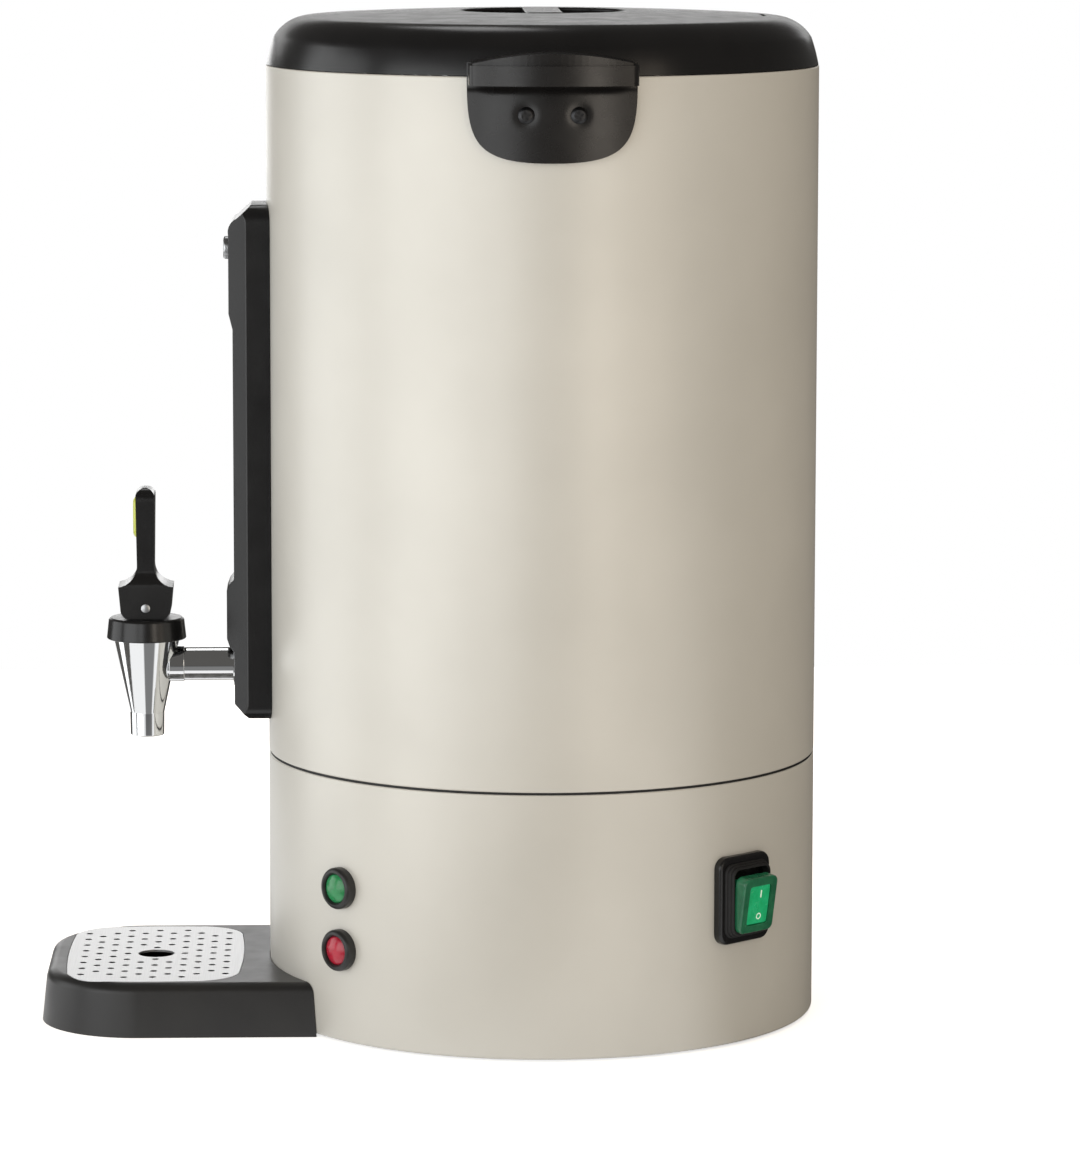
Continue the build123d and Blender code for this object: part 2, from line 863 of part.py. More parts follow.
# Pump stem: a tube on a bell that stands in the tank's well
with BuildPart() as pump_stem:
    with BuildSketch(Plane.XZ):
        with BuildLine():
            Polyline(
                (stem_radius, stem_top),
                (stem_radius, stem_low),
                (chamber_radius, chamber_top),
                (chamber_radius, chamber_low),
                (bell_radius, well_floor + bell_rim_height),
                (bell_radius, well_floor),
                (bell_radius - bell_sheet, well_floor),
                (bell_radius - bell_sheet, well_floor + bell_rim_height - bell_sheet),
                (chamber_radius - bell_sheet, chamber_low - bell_sheet),
                (valve_seat_radius, chamber_low - bell_sheet),
                (valve_seat_radius, chamber_low),
                (chamber_radius - bell_sheet, chamber_low),
                (chamber_radius - bell_sheet, chamber_top),
                (stem_bore_radius, stem_low),
                (stem_bore_radius, stem_top),
                close=True,
            )
        make_face()
    revolve(axis=Axis.Z)
    with BuildSketch(Plane.XY.offset(basket_low)):
        Circle(basket_stop_radius)
        Circle(stem_radius - shaft_gap, mode=Mode.SUBTRACT)
    extrude(amount=-basket_stop_sheet)
    for step in range(bell_notch_count // 2):
        with BuildSketch(wall_plane(full_turn * step / bell_notch_count, 0, -body_radius)):
            with Locations((0, well_floor)):
                Circle(bell_notch_radius)
        extrude(amount=bell_radius + cut_overrun, both=True, mode=Mode.SUBTRACT)

# Loose disc that closes the hole under the stem while the water is pushed up
with BuildPart() as pump_valve:
    with BuildSketch(Plane.XY.offset(chamber_low)):
        Circle(valve_radius)
    extrude(amount=valve_sheet)

# Coffee basket with a sleeve that slides on the stem
with BuildPart() as coffee_basket:
    with BuildSketch(Plane.XZ):
        with BuildLine():
            Polyline(
                (sleeve_bore_radius, basket_low),
                (basket_radius, basket_low),
                (basket_radius, basket_top - basket_sheet),
                (basket_radius + basket_lip, basket_top - basket_sheet),
                (basket_radius + basket_lip, basket_top),
                (basket_radius - basket_sheet, basket_top),
                (basket_radius - basket_sheet, basket_low + basket_sheet),
                (sleeve_bore_radius + basket_sleeve_wall, basket_low + basket_sheet),
                (sleeve_bore_radius + basket_sleeve_wall, basket_low + basket_sleeve_depth),
                (sleeve_bore_radius, basket_low + basket_sleeve_depth),
                close=True,
            )
        make_face()
    revolve(axis=Axis.Z)
    with BuildSketch(Plane.XY.offset(basket_low)):
        for ring_radius, hole_count in zip(basket_ring_radii, basket_ring_hole_counts):
            with PolarLocations(ring_radius, hole_count):
                RegularPolygon(basket_hole_radius, 6)
    extrude(amount=basket_sheet, mode=Mode.SUBTRACT)

# Perforated spreader that lies on the basket's lip
with BuildPart() as basket_spreader:
    with BuildSketch(Plane.XZ):
        with BuildLine():
            Polyline(
                (sleeve_bore_radius, spreader_low),
                (spreader_radius, spreader_low),
                (spreader_radius, spreader_low + spreader_rim_height),
                (spreader_radius - spreader_sheet, spreader_low + spreader_rim_height),
                (spreader_radius - spreader_sheet, spreader_low + spreader_sheet),
                (sleeve_bore_radius + basket_sleeve_wall, spreader_low + spreader_sheet),
                (sleeve_bore_radius + basket_sleeve_wall, spreader_low + spreader_collar_height),
                (sleeve_bore_radius, spreader_low + spreader_collar_height),
                close=True,
            )
        make_face()
    revolve(axis=Axis.Z)
    with BuildSketch(Plane.XY.offset(spreader_low)):
        for ring_radius, hole_count in zip(basket_ring_radii, basket_ring_hole_counts):
            with PolarLocations(ring_radius, hole_count):
                RegularPolygon(basket_hole_radius, 6)
    extrude(amount=spreader_sheet, mode=Mode.SUBTRACT)


def handle_plan(inset):
    """Plan of the hood with its curved front, in the sketch that is open"""
    half = handle_half_width - inset
    with BuildLine() as outline:
        Polyline((handle_end - inset, half), (0, half), (0, -half), (handle_end - inset, -half))
        ThreePointArc(
            (handle_end - inset, -half), (handle_front - inset, 0), (handle_end - inset, half)
        )
    make_face(outline.edges())


# Plate of a lift handle, which follows the drum
handle_side_points = [
    (handle_half_width * width_share, handle_side_low - (handle_side_low - handle_low) * drop_share)
    for width_share, drop_share in handle_side_shares
]
with BuildPart() as handle_apron:
    with BuildSketch(Plane.YZ):
        with BuildLine():
            Polyline(
                (0, handle_end_top),
                (handle_half_width, handle_end_top),
                (handle_half_width, handle_side_low),
            )
            Spline(
                (handle_half_width, handle_side_low),
                *handle_side_points,
                (0, handle_low),
                tangents=[(0, -1), (-1, 0)],
            )
            mirror(about=Plane.YZ)
        make_face()
    extrude(amount=handle_front)
    with BuildSketch(Plane.XY.offset(handle_low - cut_overrun)):
        Circle(handle_plate_radius)
        Circle(handle_back_radius, mode=Mode.SUBTRACT)
    extrude(amount=handle_crown_top - handle_low + 2 * cut_overrun, mode=Mode.INTERSECT)

# Hood of a lift handle, with a finger pocket below
with BuildPart() as handle_hood:
    for reach, crown, end_top in (
        (body_radius - cut_overrun, handle_crown_top, handle_end_top),
        (handle_front, handle_front_top + handle_front_crown, handle_front_top),
    ):
        with BuildSketch(Plane.YZ.offset(reach)):
            with BuildLine():
                Polyline(
                    (-handle_half_width, end_top),
                    (-handle_half_width, handle_hood_low),
                    (handle_half_width, handle_hood_low),
                    (handle_half_width, end_top),
                )
                ThreePointArc((handle_half_width, end_top), (0, crown), (-handle_half_width, end_top))
            make_face()
    loft(ruled=True)
    with BuildSketch(Plane.XY.offset(handle_low)):
        handle_plan(0)
        Circle(handle_back_radius, mode=Mode.SUBTRACT)
    extrude(amount=handle_crown_top - handle_low + cut_overrun, mode=Mode.INTERSECT)
    with BuildSketch(Plane.XY.offset(handle_hood_low - cut_overrun)):
        handle_plan(handle_wall)
        Circle(handle_plate_radius, mode=Mode.SUBTRACT)
    extrude(amount=handle_pocket_depth + cut_overrun, mode=Mode.SUBTRACT)

# Right lift handle, with two screw holes in round dishes
with BuildPart() as handle_right:
    add(handle_apron.part)
    add(handle_hood.part)
    with BuildSketch(Plane.YZ.offset(body_radius - cut_overrun)):
        with Locations((0, handle_screw_height)):
            with GridLocations(handle_screw_spacing, 0, 2, 1):
                Circle(handle_screw_radius + shaft_gap)
    extrude(amount=handle_plate + 2 * cut_overrun, mode=Mode.SUBTRACT)
    with BuildSketch(Plane.YZ.offset(handle_plate_radius - handle_screw_sink)):
        with Locations((0, handle_screw_height)):
            with GridLocations(handle_screw_spacing, 0, 2, 1):
                Circle(handle_dish_radius)
    extrude(amount=cut_overrun, mode=Mode.SUBTRACT)

# Left lift handle, the mirror image on the far side
with BuildPart() as handle_left:
    mirror(handle_right.part, about=Plane.YZ)

# Handle screws, from outside through the plate and the body shell
with BuildPart() as handle_screws:
    for side in (1, -1):
        seat = Plane(
            origin=(side * (handle_plate_radius - handle_screw_sink), 0, handle_screw_height),
            x_dir=(0, side, 0),
            z_dir=(side, 0, 0),
        )
        with BuildSketch(seat):
            with GridLocations(handle_screw_spacing, 0, 2, 1):
                Circle(handle_screw_head_radius)
        extrude(amount=handle_screw_head_height)
        with BuildSketch(seat):
            with GridLocations(handle_screw_spacing, 0, 2, 1):
                Circle(handle_screw_radius)
        extrude(amount=-handle_screw_length)

# Outer shape of the gauge column, with chamfered sides
column_bulge_front = column_front + column_bulge
column_block_front = column_front + column_block_bulge
with BuildPart() as gauge_column:
    with BuildSketch(Plane.YZ):
        with BuildLine():
            Polyline(
                (-column_block_front + column_brow_depth, column_block_top + column_brow_height),
                (-body_radius - column_side_depth + cut_overrun / 2, column_top),
                (-body_radius + cut_overrun, column_top),
                (-body_radius + cut_overrun, column_low),
                (-body_radius - column_foot_depth, column_low),
                (-column_front, column_low + column_foot_drop),
                (-column_front, column_bulge_low),
                (-column_bulge_front, column_bulge_low + column_bulge_low_ramp),
                (-column_bulge_front, column_bulge_top),
                (-column_front, column_bulge_top + column_bulge_ramp),
                (-column_front, column_block_low - column_block_ramp),
                (-column_block_front, column_block_low),
                (-column_block_front, column_block_top),
            )
            ThreePointArc(
                (-column_block_front, column_block_top),
                (
                    -column_block_front + column_brow_depth * column_brow_bulge_share,
                    column_block_top + column_brow_height * (1 - column_brow_bulge_share),
                ),
                (-column_block_front + column_brow_depth, column_block_top + column_brow_height),
            )
        make_face()
    extrude(amount=column_half_width, both=True)
    with BuildSketch(Plane.XY.offset(column_low)):
        with BuildLine():
            Polyline(
                (0, -body_radius + cut_overrun),
                (column_half_width, -body_radius + cut_overrun),
                (column_half_width, -body_radius - column_side_depth),
                (column_face_half_width, -column_bulge_front),
                (0, -column_bulge_front),
            )
            mirror(about=Plane.YZ)
        make_face()
        Circle(body_radius + seat_gap, mode=Mode.SUBTRACT)
    extrude(amount=column_top - column_low, mode=Mode.INTERSECT)
    with BuildSketch(Plane.XZ):
        with Locations((0, (column_low + column_top) / 2)):
            RectangleRounded(2 * column_half_width, column_top - column_low, column_corner_round)
    extrude(amount=column_bulge_front + cut_overrun, mode=Mode.INTERSECT)

# Housing of the sight glass, with its window, its glass bore and its passage to the tap
scale_back = glass_place - glass_radius - scale_backing_gap - scale_sheet
with BuildPart() as gauge_housing:
    add(gauge_column.part)
    with BuildSketch(Plane.XZ.offset(scale_back)):
        with Locations((0, window_low + window_height / 2)):
            RectangleRounded(window_width, window_height, window_round)
    extrude(amount=column_bulge_front - scale_back + cut_overrun, mode=Mode.SUBTRACT)
    with BuildSketch(Plane.XY.offset(glass_low)):
        with Locations((0, -glass_place)):
            Circle(glass_radius + glass_gap)
    extrude(amount=glass_top - glass_low + running_gap, mode=Mode.SUBTRACT)
    for pocket_low in (glass_low, glass_top - glass_seal_height):
        with BuildSketch(Plane.XY.offset(pocket_low)):
            with Locations((0, -glass_place)):
                Circle(glass_radius + glass_gap + glass_seal_wall)
        extrude(amount=glass_seal_height, mode=Mode.SUBTRACT)
    with BuildSketch(Plane.XY.offset(tap_pipe_height)):
        with Locations((0, -glass_place)):
            Circle(tap_gauge_port_radius)
    extrude(amount=glass_low - tap_pipe_height, mode=Mode.SUBTRACT)
    with BuildSketch(Plane.XZ.offset(body_radius - cut_overrun)):
        with Locations((0, tap_pipe_height)):
            Circle(tap_pipe_radius + tap_thread_gap)
        with Locations((0, column_screw_height)):
            Circle(column_screw_radius + shaft_gap)
    extrude(amount=column_depth + column_bulge + 2 * cut_overrun, mode=Mode.SUBTRACT)
    with BuildSketch(Plane.XZ.offset(column_front)):
        with Locations((0, tap_pipe_height)):
            Circle(tap_flange_radius + running_gap)
    extrude(amount=cut_overrun, mode=Mode.SUBTRACT)

# Round metal cap screw that holds the top of the column
with BuildPart() as column_screw:
    with BuildSketch(Plane.XZ.offset(column_block_front)):
        with Locations((0, column_screw_height)):
            Circle(column_screw_head_radius)
    extrude(amount=column_screw_head_height)
    fillet(column_screw.faces().sort_by(Axis.Y)[0].edges(), column_screw_round)
    with BuildSketch(Plane.XZ.offset(column_block_front)):
        with Locations((0, column_screw_height)):
            Circle(column_screw_radius)
    extrude(amount=-column_screw_length)

# Sight glass tube
with BuildPart() as sight_glass:
    with BuildSketch(Plane.XY.offset(glass_low)):
        with Locations((0, -glass_place)):
            Circle(glass_radius)
            Circle(glass_radius - glass_wall, mode=Mode.SUBTRACT)
    extrude(amount=glass_top - glass_low)

# Seals round both ends of the glass
with BuildPart() as glass_seals:
    for pocket_low in (glass_low, glass_top - glass_seal_height):
        with BuildSketch(Plane.XY.offset(pocket_low)):
            with Locations((0, -glass_place)):
                Circle(glass_radius + glass_seal_wall)
                Circle(glass_radius + shaft_gap, mode=Mode.SUBTRACT)
        extrude(amount=glass_seal_height)

# Pale strip behind the glass, which carries the level marks
with BuildPart() as gauge_scale:
    with BuildSketch(Plane.XZ.offset(scale_back)):
        with Locations((0, window_low + window_height / 2)):
            RectangleRounded(
                window_width - 2 * seat_gap, window_height - 2 * seat_gap, window_round - seat_gap
            )
    extrude(amount=scale_sheet)

# Tap body: a hollow chrome cone with a nozzle, on a pipe from the tank
tap_axis = Axis((0, -tap_reach, 0), (0, 0, 1))
tap_plane = Plane.XZ.offset(tap_reach)
with BuildPart() as tap_body:
    with BuildSketch(tap_plane):
        Polygon(
            (0, tap_low),
            (tap_nozzle_radius, tap_low),
            (tap_cone_low_radius, tap_cone_low),
            (tap_cone_radius, tap_cone_top),
            (tap_cone_radius, tap_neck_top),
            (0, tap_neck_top),
            align=None,
        )
    revolve(axis=tap_axis)
    with BuildSketch(Plane.XZ.offset(tap_pipe_inner_end)):
        with Locations((0, tap_pipe_height)):
            Circle(tap_pipe_radius)
    extrude(amount=tap_reach - tap_pipe_inner_end)
    with BuildSketch(Plane.XZ.offset(column_front)):
        with Locations((0, tap_pipe_height)):
            Circle(tap_flange_radius)
    extrude(amount=tap_flange_sheet)
    with BuildSketch(Plane.XZ.offset(tap_reach - tap_cone_radius - tap_collar_stand_out)):
        with Locations((0, tap_pipe_height)):
            Circle(tap_collar_radius)
    extrude(amount=tap_collar_length)
    with BuildSketch(tap_plane):
        Polygon(
            (0, tap_low),
            (tap_nozzle_bore_radius, tap_low),
            (tap_nozzle_bore_radius, tap_low + tap_nozzle_bore_height),
            (tap_seat_radius, tap_seat_low),
            (tap_chamber_radius, tap_cone_top),
            (tap_chamber_radius, tap_neck_top),
            (0, tap_neck_top),
            align=None,
        )
    revolve(axis=tap_axis, mode=Mode.SUBTRACT)
    with BuildSketch(Plane.XZ.offset(tap_pipe_inner_end)):
        with Locations((0, tap_pipe_height)):
            Circle(tap_pipe_bore_radius)
    extrude(amount=tap_reach - tap_pipe_inner_end, mode=Mode.SUBTRACT)
    with BuildSketch(Plane.XY.offset(tap_pipe_height)):
        with Locations((0, -glass_place)):
            Circle(tap_gauge_port_radius)
    extrude(amount=glass_low - tap_pipe_height, mode=Mode.SUBTRACT)

# Sleeve on the pipe between the body shell and the tank
pipe_clear_radius = tap_pipe_radius + tap_thread_gap
sleeve_radius = pipe_clear_radius + sleeve_wall
sleeve_outer_end = sqrt((body_radius - shell_sheet) ** 2 - sleeve_radius ** 2) - seat_gap
sleeve_inner_end = tank_radius + seat_gap
with BuildPart() as tap_sleeve:
    with BuildSketch(Plane.XZ.offset(sleeve_inner_end)):
        with Locations((0, tap_pipe_height)):
            Circle(sleeve_radius)
            Circle(pipe_clear_radius, mode=Mode.SUBTRACT)
    extrude(amount=sleeve_outer_end - sleeve_inner_end)

# Gasket on the pipe inside the tank
gasket_face = sqrt(tank_bore_radius ** 2 - sleeve_radius ** 2) - seat_gap
with BuildPart() as tap_gasket:
    with BuildSketch(Plane.XZ.offset(gasket_face)):
        with Locations((0, tap_pipe_height)):
            Circle(sleeve_radius)
            Circle(pipe_clear_radius, mode=Mode.SUBTRACT)
    extrude(amount=-tap_gasket_height)

# Nut on the pipe inside the tank
with BuildPart() as tap_nut:
    with BuildSketch(Plane.XZ.offset(gasket_face - tap_gasket_height)):
        with Locations((0, tap_pipe_height)):
            RegularPolygon(nut_radius, 6)
            Circle(pipe_clear_radius, mode=Mode.SUBTRACT)
    extrude(amount=-nut_height)

# Tap cap, screwed over the neck of the tap body
with BuildPart() as tap_cap:
    with BuildSketch(tap_plane):
        Polygon(
            (tap_cone_radius + running_gap, cap_low),
            (cap_low_radius, cap_low),
            (cap_top_radius, cap_top),
            (rod_radius + running_gap, cap_top),
            (rod_radius + running_gap, tap_neck_top),
            (tap_cone_radius + running_gap, tap_neck_top),
            align=None,
        )
    revolve(axis=tap_axis)
    fillet(rings_of(tap_cap, cap_top_radius), cap_round)

# Tap stem: a rod with an eye for the lever's pin and a plate for the spring
with BuildPart() as tap_stem:
    with BuildSketch(tap_plane):
        Polygon(
            (0, cup_top - cup_bore_depth),
            (rod_radius, cup_top - cup_bore_depth),
            (rod_radius, cup_top),
            (spring_plate_radius, cup_top),
            (spring_plate_radius, spring_low),
            (rod_radius, spring_low),
            (rod_radius, pin_place_height),
            (0, pin_place_height),
            align=None,
        )
    revolve(axis=tap_axis)
    with BuildSketch(Plane.YZ):
        with Locations((-tap_reach, pin_place_height)):
            Circle(eye_radius)
    extrude(amount=eye_half_width, both=True)
    with BuildSketch(Plane.YZ):
        with Locations((-tap_reach, pin_place_height)):
            Circle(pin_radius + shaft_gap)
    extrude(amount=eye_half_width + cut_overrun, both=True, mode=Mode.SUBTRACT)

# Soft cup that closes the tap's seat
tap_taper = (tap_chamber_radius - tap_seat_radius) / (tap_cone_top - tap_seat_low)
cup_low_radius = tap_seat_radius + tap_taper * cup_low_lift - running_gap
cup_radius = cup_low_radius + tap_taper * cup_height
with BuildPart() as tap_seat_cup:
    with BuildSketch(tap_plane):
        Polygon(
            (0, cup_low),
            (cup_low_radius, cup_low),
            (cup_radius, cup_top),
            (rod_radius + shaft_gap, cup_top),
            (rod_radius + shaft_gap, cup_top - cup_bore_depth),
            (0, cup_top - cup_bore_depth),
            align=None,
        )
    revolve(axis=tap_axis)

# Spring that presses the cup down
with BuildPart() as tap_spring:
    with BuildSketch(tap_plane):
        Polygon(
            (spring_radius - spring_wall, spring_low),
            (spring_radius, spring_low),
            (spring_radius, spring_top),
            (spring_radius - spring_wall, spring_top),
            align=None,
        )
    revolve(axis=tap_axis)

# Outer shape of the tap lever, whose foot is a cam that lifts the stem in step with the tilt
lever_crown_low = pin_place_height + lever_top_rise - lever_top_crown
cam_points = []
for step in range(cam_steps + 1):
    tilt = radians(lever_swing) * step / cam_steps
    support = cam_rest + cam_lift_per_radian * tilt
    forward = cam_lift_per_radian * cos(tilt) + support * sin(tilt)
    rise = cam_lift_per_radian * sin(tilt) - support * cos(tilt)
    cam_points.append((-tap_reach - forward, pin_place_height + rise))

with BuildPart() as lever_blank:
    with BuildSketch(Plane.YZ):
        with BuildLine():
            Spline(*cam_points)
            Polyline(
                cam_points[-1],
                (-tap_reach - lever_shoulder_half_depth, pin_place_height + lever_shoulder_rise),
            )
            ThreePointArc(
                (-tap_reach - lever_shoulder_half_depth, pin_place_height + lever_shoulder_rise),
                (
                    -tap_reach
                    - lever_waist_half_depth
                    - (lever_shoulder_half_depth - lever_waist_half_depth) * lever_flare_bulge_share,
                    pin_place_height
                    + lever_shoulder_rise
                    + (lever_waist_rise - lever_shoulder_rise) * lever_flare_bulge_share,
                ),
                (-tap_reach - lever_waist_half_depth, pin_place_height + lever_waist_rise),
            )
            Line(
                (-tap_reach - lever_waist_half_depth, pin_place_height + lever_waist_rise),
                (-tap_reach - lever_top_half_depth, lever_crown_low),
            )
            ThreePointArc(
                (-tap_reach - lever_top_half_depth, lever_crown_low),
                (-tap_reach, pin_place_height + lever_top_rise),
                (-tap_reach + lever_top_half_depth, lever_crown_low),
            )
            Line(
                (-tap_reach + lever_top_half_depth, lever_crown_low),
                (-tap_reach + lever_waist_half_depth, pin_place_height + lever_waist_rise),
            )
            ThreePointArc(
                (-tap_reach + lever_waist_half_depth, pin_place_height + lever_waist_rise),
                (
                    -tap_reach
                    + lever_waist_half_depth
                    + (lever_shoulder_half_depth - lever_waist_half_depth) * lever_flare_bulge_share,
                    pin_place_height
                    + lever_shoulder_rise
                    + (lever_waist_rise - lever_shoulder_rise) * lever_flare_bulge_share,
                ),
                (-tap_reach + lever_shoulder_half_depth, pin_place_height + lever_shoulder_rise),
            )
            Polyline(
                (-tap_reach + lever_shoulder_half_depth, pin_place_height + lever_shoulder_rise),
                (
                    -tap_reach + lever_back_round_width,
                    pin_place_height - cam_rest + lever_back_round_rise,
                ),
                (-tap_reach + lever_flat_back, pin_place_height - cam_rest),
                cam_points[0],
            )
        make_face()
    extrude(amount=lever_half_width, both=True)

# Lever with its slot for the stem's eye, its pin hole and its pocket for the insert
slot_half_width = eye_half_width + running_gap
slot_half = rod_radius + 2 * running_gap
slot_reach = lever_shoulder_half_depth + cut_overrun
slot_lean = radians(lever_swing + slot_spare_angle)
slot_front = -slot_half * cos(slot_lean) - slot_reach * sin(slot_lean)
insert_plane = Plane.XZ.offset(tap_reach + lever_waist_half_depth - insert_sheet)
insert_middle = pin_place_height + insert_low_rise + insert_height / 2
with BuildPart() as tap_lever:
    add(lever_blank.part)
    with BuildSketch(tap_plane):
        with BuildLine():
            Polyline(
                (0, pin_place_height - cam_rest),
                (lever_half_width, pin_place_height - cam_rest),
                (lever_half_width, pin_place_height + lever_shoulder_rise),
                (lever_blade_half_width, pin_place_height + lever_blade_rise),
                (lever_blade_top_half_width, pin_place_height + lever_top_rise),
                (0, pin_place_height + lever_top_rise),
            )
            mirror(about=Plane.YZ)
        make_face()
        fillet(vertices().group_by(Axis.Y)[-1], lever_blade_top_round)
    extrude(amount=lever_shoulder_half_depth + cut_overrun, both=True, mode=Mode.INTERSECT)
    with BuildSketch(Plane.YZ.offset(-slot_half_width)):
        with Locations((-tap_reach, pin_place_height)):
            Circle(eye_radius + 2 * running_gap)
            Polygon(
                (slot_half, 0),
                (slot_half, -slot_reach),
                (slot_front, -slot_reach),
                (slot_front, slot_half * sin(slot_lean) - slot_reach * cos(slot_lean)),
                (-slot_half * cos(slot_lean), slot_half * sin(slot_lean)),
                align=None,
            )
    extrude(amount=2 * slot_half_width, mode=Mode.SUBTRACT)
    with BuildSketch(Plane.YZ):
        with Locations((-tap_reach, pin_place_height)):
            Circle(pin_radius + shaft_gap)
    extrude(amount=lever_half_width + cut_overrun, both=True, mode=Mode.SUBTRACT)
    with BuildSketch(insert_plane):
        with Locations((0, insert_middle)):
            SlotOverall(insert_height, 2 * insert_half_width, rotation=90)
    extrude(amount=insert_sheet + cut_overrun, mode=Mode.SUBTRACT)

# Pin through the lever and the stem's eye
with BuildPart() as lever_pin:
    with BuildSketch(Plane.YZ):
        with Locations((-tap_reach, pin_place_height)):
            Circle(pin_radius)
    extrude(amount=lever_half_width, both=True)

# Coloured insert in the front of the lever
with BuildPart() as lever_insert:
    with BuildSketch(insert_plane):
        with Locations((0, insert_middle)):
            SlotOverall(insert_height - 2 * seat_gap, 2 * (insert_half_width - seat_gap), rotation=90)
    extrude(amount=insert_sheet + insert_bulge)
    fillet(lever_insert.faces().sort_by(Axis.Y)[0].edges(), insert_bulge - seat_gap)


def grid_outline(inset):
    """Bowed outline of the tray's grid, in the sketch that is open"""
    half_width = grid_half_width - inset
    half_depth = grid_half_depth - inset
    corner_half_width = grid_corner_half_width - inset
    corner_half_depth = grid_corner_half_depth - inset
    with BuildLine() as outline:
        ThreePointArc(
            (corner_half_width, -corner_half_depth),
            (half_width, 0),
            (corner_half_width, corner_half_depth),
        )
        ThreePointArc(
            (corner_half_width, corner_half_depth),
            (0, half_depth),
            (-corner_half_width, corner_half_depth),
        )
        ThreePointArc(
            (-corner_half_width, corner_half_depth),
            (-half_width, 0),
            (-corner_half_width, -corner_half_depth),
        )
        ThreePointArc(
            (-corner_half_width, -corner_half_depth),
            (0, -half_depth),
            (corner_half_width, -corner_half_depth),
        )
    make_face(outline.edges())


# Drip tray: a drafted moulding that fits round the front of the base
tray_depth = tray_front - body_radius / 2
with BuildPart() as drip_tray:
    with BuildSketch(Plane.XY):
        with Locations((0, -tray_front + tray_depth / 2)):
            Rectangle(2 * tray_half_width, tray_depth)
        fillet(vertices().group_by(Axis.Y)[0], tray_corner_round)
    extrude(amount=tray_height, taper=tray_draft)
    top_edges = drip_tray.faces().sort_by(Axis.Z)[-1].edges()
    fillet(top_edges, tray_edge_round)
    with BuildSketch(Plane.XY):
        Circle(body_radius + tray_back_gap)
    extrude(amount=tray_height + cut_overrun, mode=Mode.SUBTRACT)
    with BuildSketch(Plane(origin=(0, -grid_centre, grid_low))):
        grid_outline(-running_gap)
        fillet(vertices(), grid_corner_round + running_gap)
    extrude(amount=grid_sheet + cut_overrun, mode=Mode.SUBTRACT)
    with BuildSketch(Plane(origin=(0, -grid_centre, tray_floor))):
        grid_outline(tray_ledge_width)
        fillet(vertices(), grid_corner_round - tray_ledge_width)
    extrude(amount=tray_height, mode=Mode.SUBTRACT)

# Perforated steel grid, let into the tray
grid_places = []
for row in range(grid_rows):
    for column in range(grid_columns):
        across = (row - (grid_rows - 1) / 2) * grid_pitch
        along = (column - (grid_columns - 1) / 2) * grid_pitch
        edge_row = row in (0, grid_rows - 1)
        near_corner = edge_row and not grid_edge_columns <= column < grid_columns - grid_edge_columns
        near_centre = sqrt(across ** 2 + along ** 2) < grid_centre_clear
        if (row + column) % 2 == 1 and not near_corner and not near_centre:
            grid_places.append((across, along))
with BuildPart() as tray_grid:
    with BuildSketch(Plane(origin=(0, -grid_centre, grid_low))):
        grid_outline(0)
        fillet(vertices(), grid_corner_round)
        Circle(grid_centre_hole_radius, mode=Mode.SUBTRACT)
        with Locations(*grid_places):
            RegularPolygon(grid_hole_radius, grid_hole_sides, mode=Mode.SUBTRACT)
    extrude(amount=grid_sheet)

# Lamps: a domed ring and a lens outside, a barrel with blades and a nut inside
with BuildPart() as lamp_rings:
    for height in lamp_heights:
        with BuildSketch(turning_plane(lamp_azimuth, height)):
            with BuildLine():
                Polyline(
                    (lamp_ring_inner_radius, lamp_ring_height),
                    (lamp_lens_radius + shaft_gap, lamp_ring_height - lamp_ring_edge / 2),
                    (lamp_lens_radius + shaft_gap, seat_gap),
                    (lamp_ring_radius, seat_gap),
                    (lamp_ring_radius, lamp_ring_edge),
                )
                ThreePointArc(
                    (lamp_ring_radius, lamp_ring_edge),
                    (
                        (lamp_ring_radius + lamp_ring_inner_radius) / 2 + lamp_ring_edge / 2,
                        (lamp_ring_edge + lamp_ring_height) / 2 + lamp_ring_edge / 2,
                    ),
                    (lamp_ring_inner_radius, lamp_ring_height),
                )
            make_face()
        revolve(axis=turning_axis(lamp_azimuth, height))

def lamp_lens_profile():
    """Half profile of a domed lens, in the sketch that is open"""
    dome_low = seat_gap + lamp_lens_side
    with BuildLine() as outline:
        Polyline(
            (0, lamp_lens_height),
            (0, seat_gap),
            (lamp_lens_radius, seat_gap),
            (lamp_lens_radius, dome_low),
        )
        ThreePointArc(
            (lamp_lens_radius, dome_low),
            (
                lamp_lens_radius / 2,
                dome_low
                + dome_rise(lamp_lens_radius, lamp_lens_height - dome_low, lamp_lens_radius / 2),
            ),
            (0, lamp_lens_height),
        )
    make_face(outline.edges())


# Red lens, the lower one
with BuildPart() as lamp_lens_red:
    with BuildSketch(turning_plane(lamp_azimuth, lamp_heights[0])):
        lamp_lens_profile()
    revolve(axis=turning_axis(lamp_azimuth, lamp_heights[0]))

# Green lens, the upper one
with BuildPart() as lamp_lens_green:
    with BuildSketch(turning_plane(lamp_azimuth, lamp_heights[1])):
        lamp_lens_profile()
    revolve(axis=turning_axis(lamp_azimuth, lamp_heights[1]))

# Lamp barrels through the base shell, with two blades each
with BuildPart() as lamp_barrels:
    for height in lamp_heights:
        with BuildSketch(wall_plane(lamp_azimuth, height, -lamp_barrel_length)):
            Circle(lamp_barrel_radius)
        extrude(amount=lamp_barrel_length + seat_gap)
        with BuildSketch(wall_plane(lamp_azimuth, height, -lamp_barrel_length)):
            with GridLocations(0, 2 * lamp_blade_gap, 1, 2):
                Rectangle(lamp_blade_width, lamp_blade_sheet)
        extrude(amount=-lamp_blade_length)

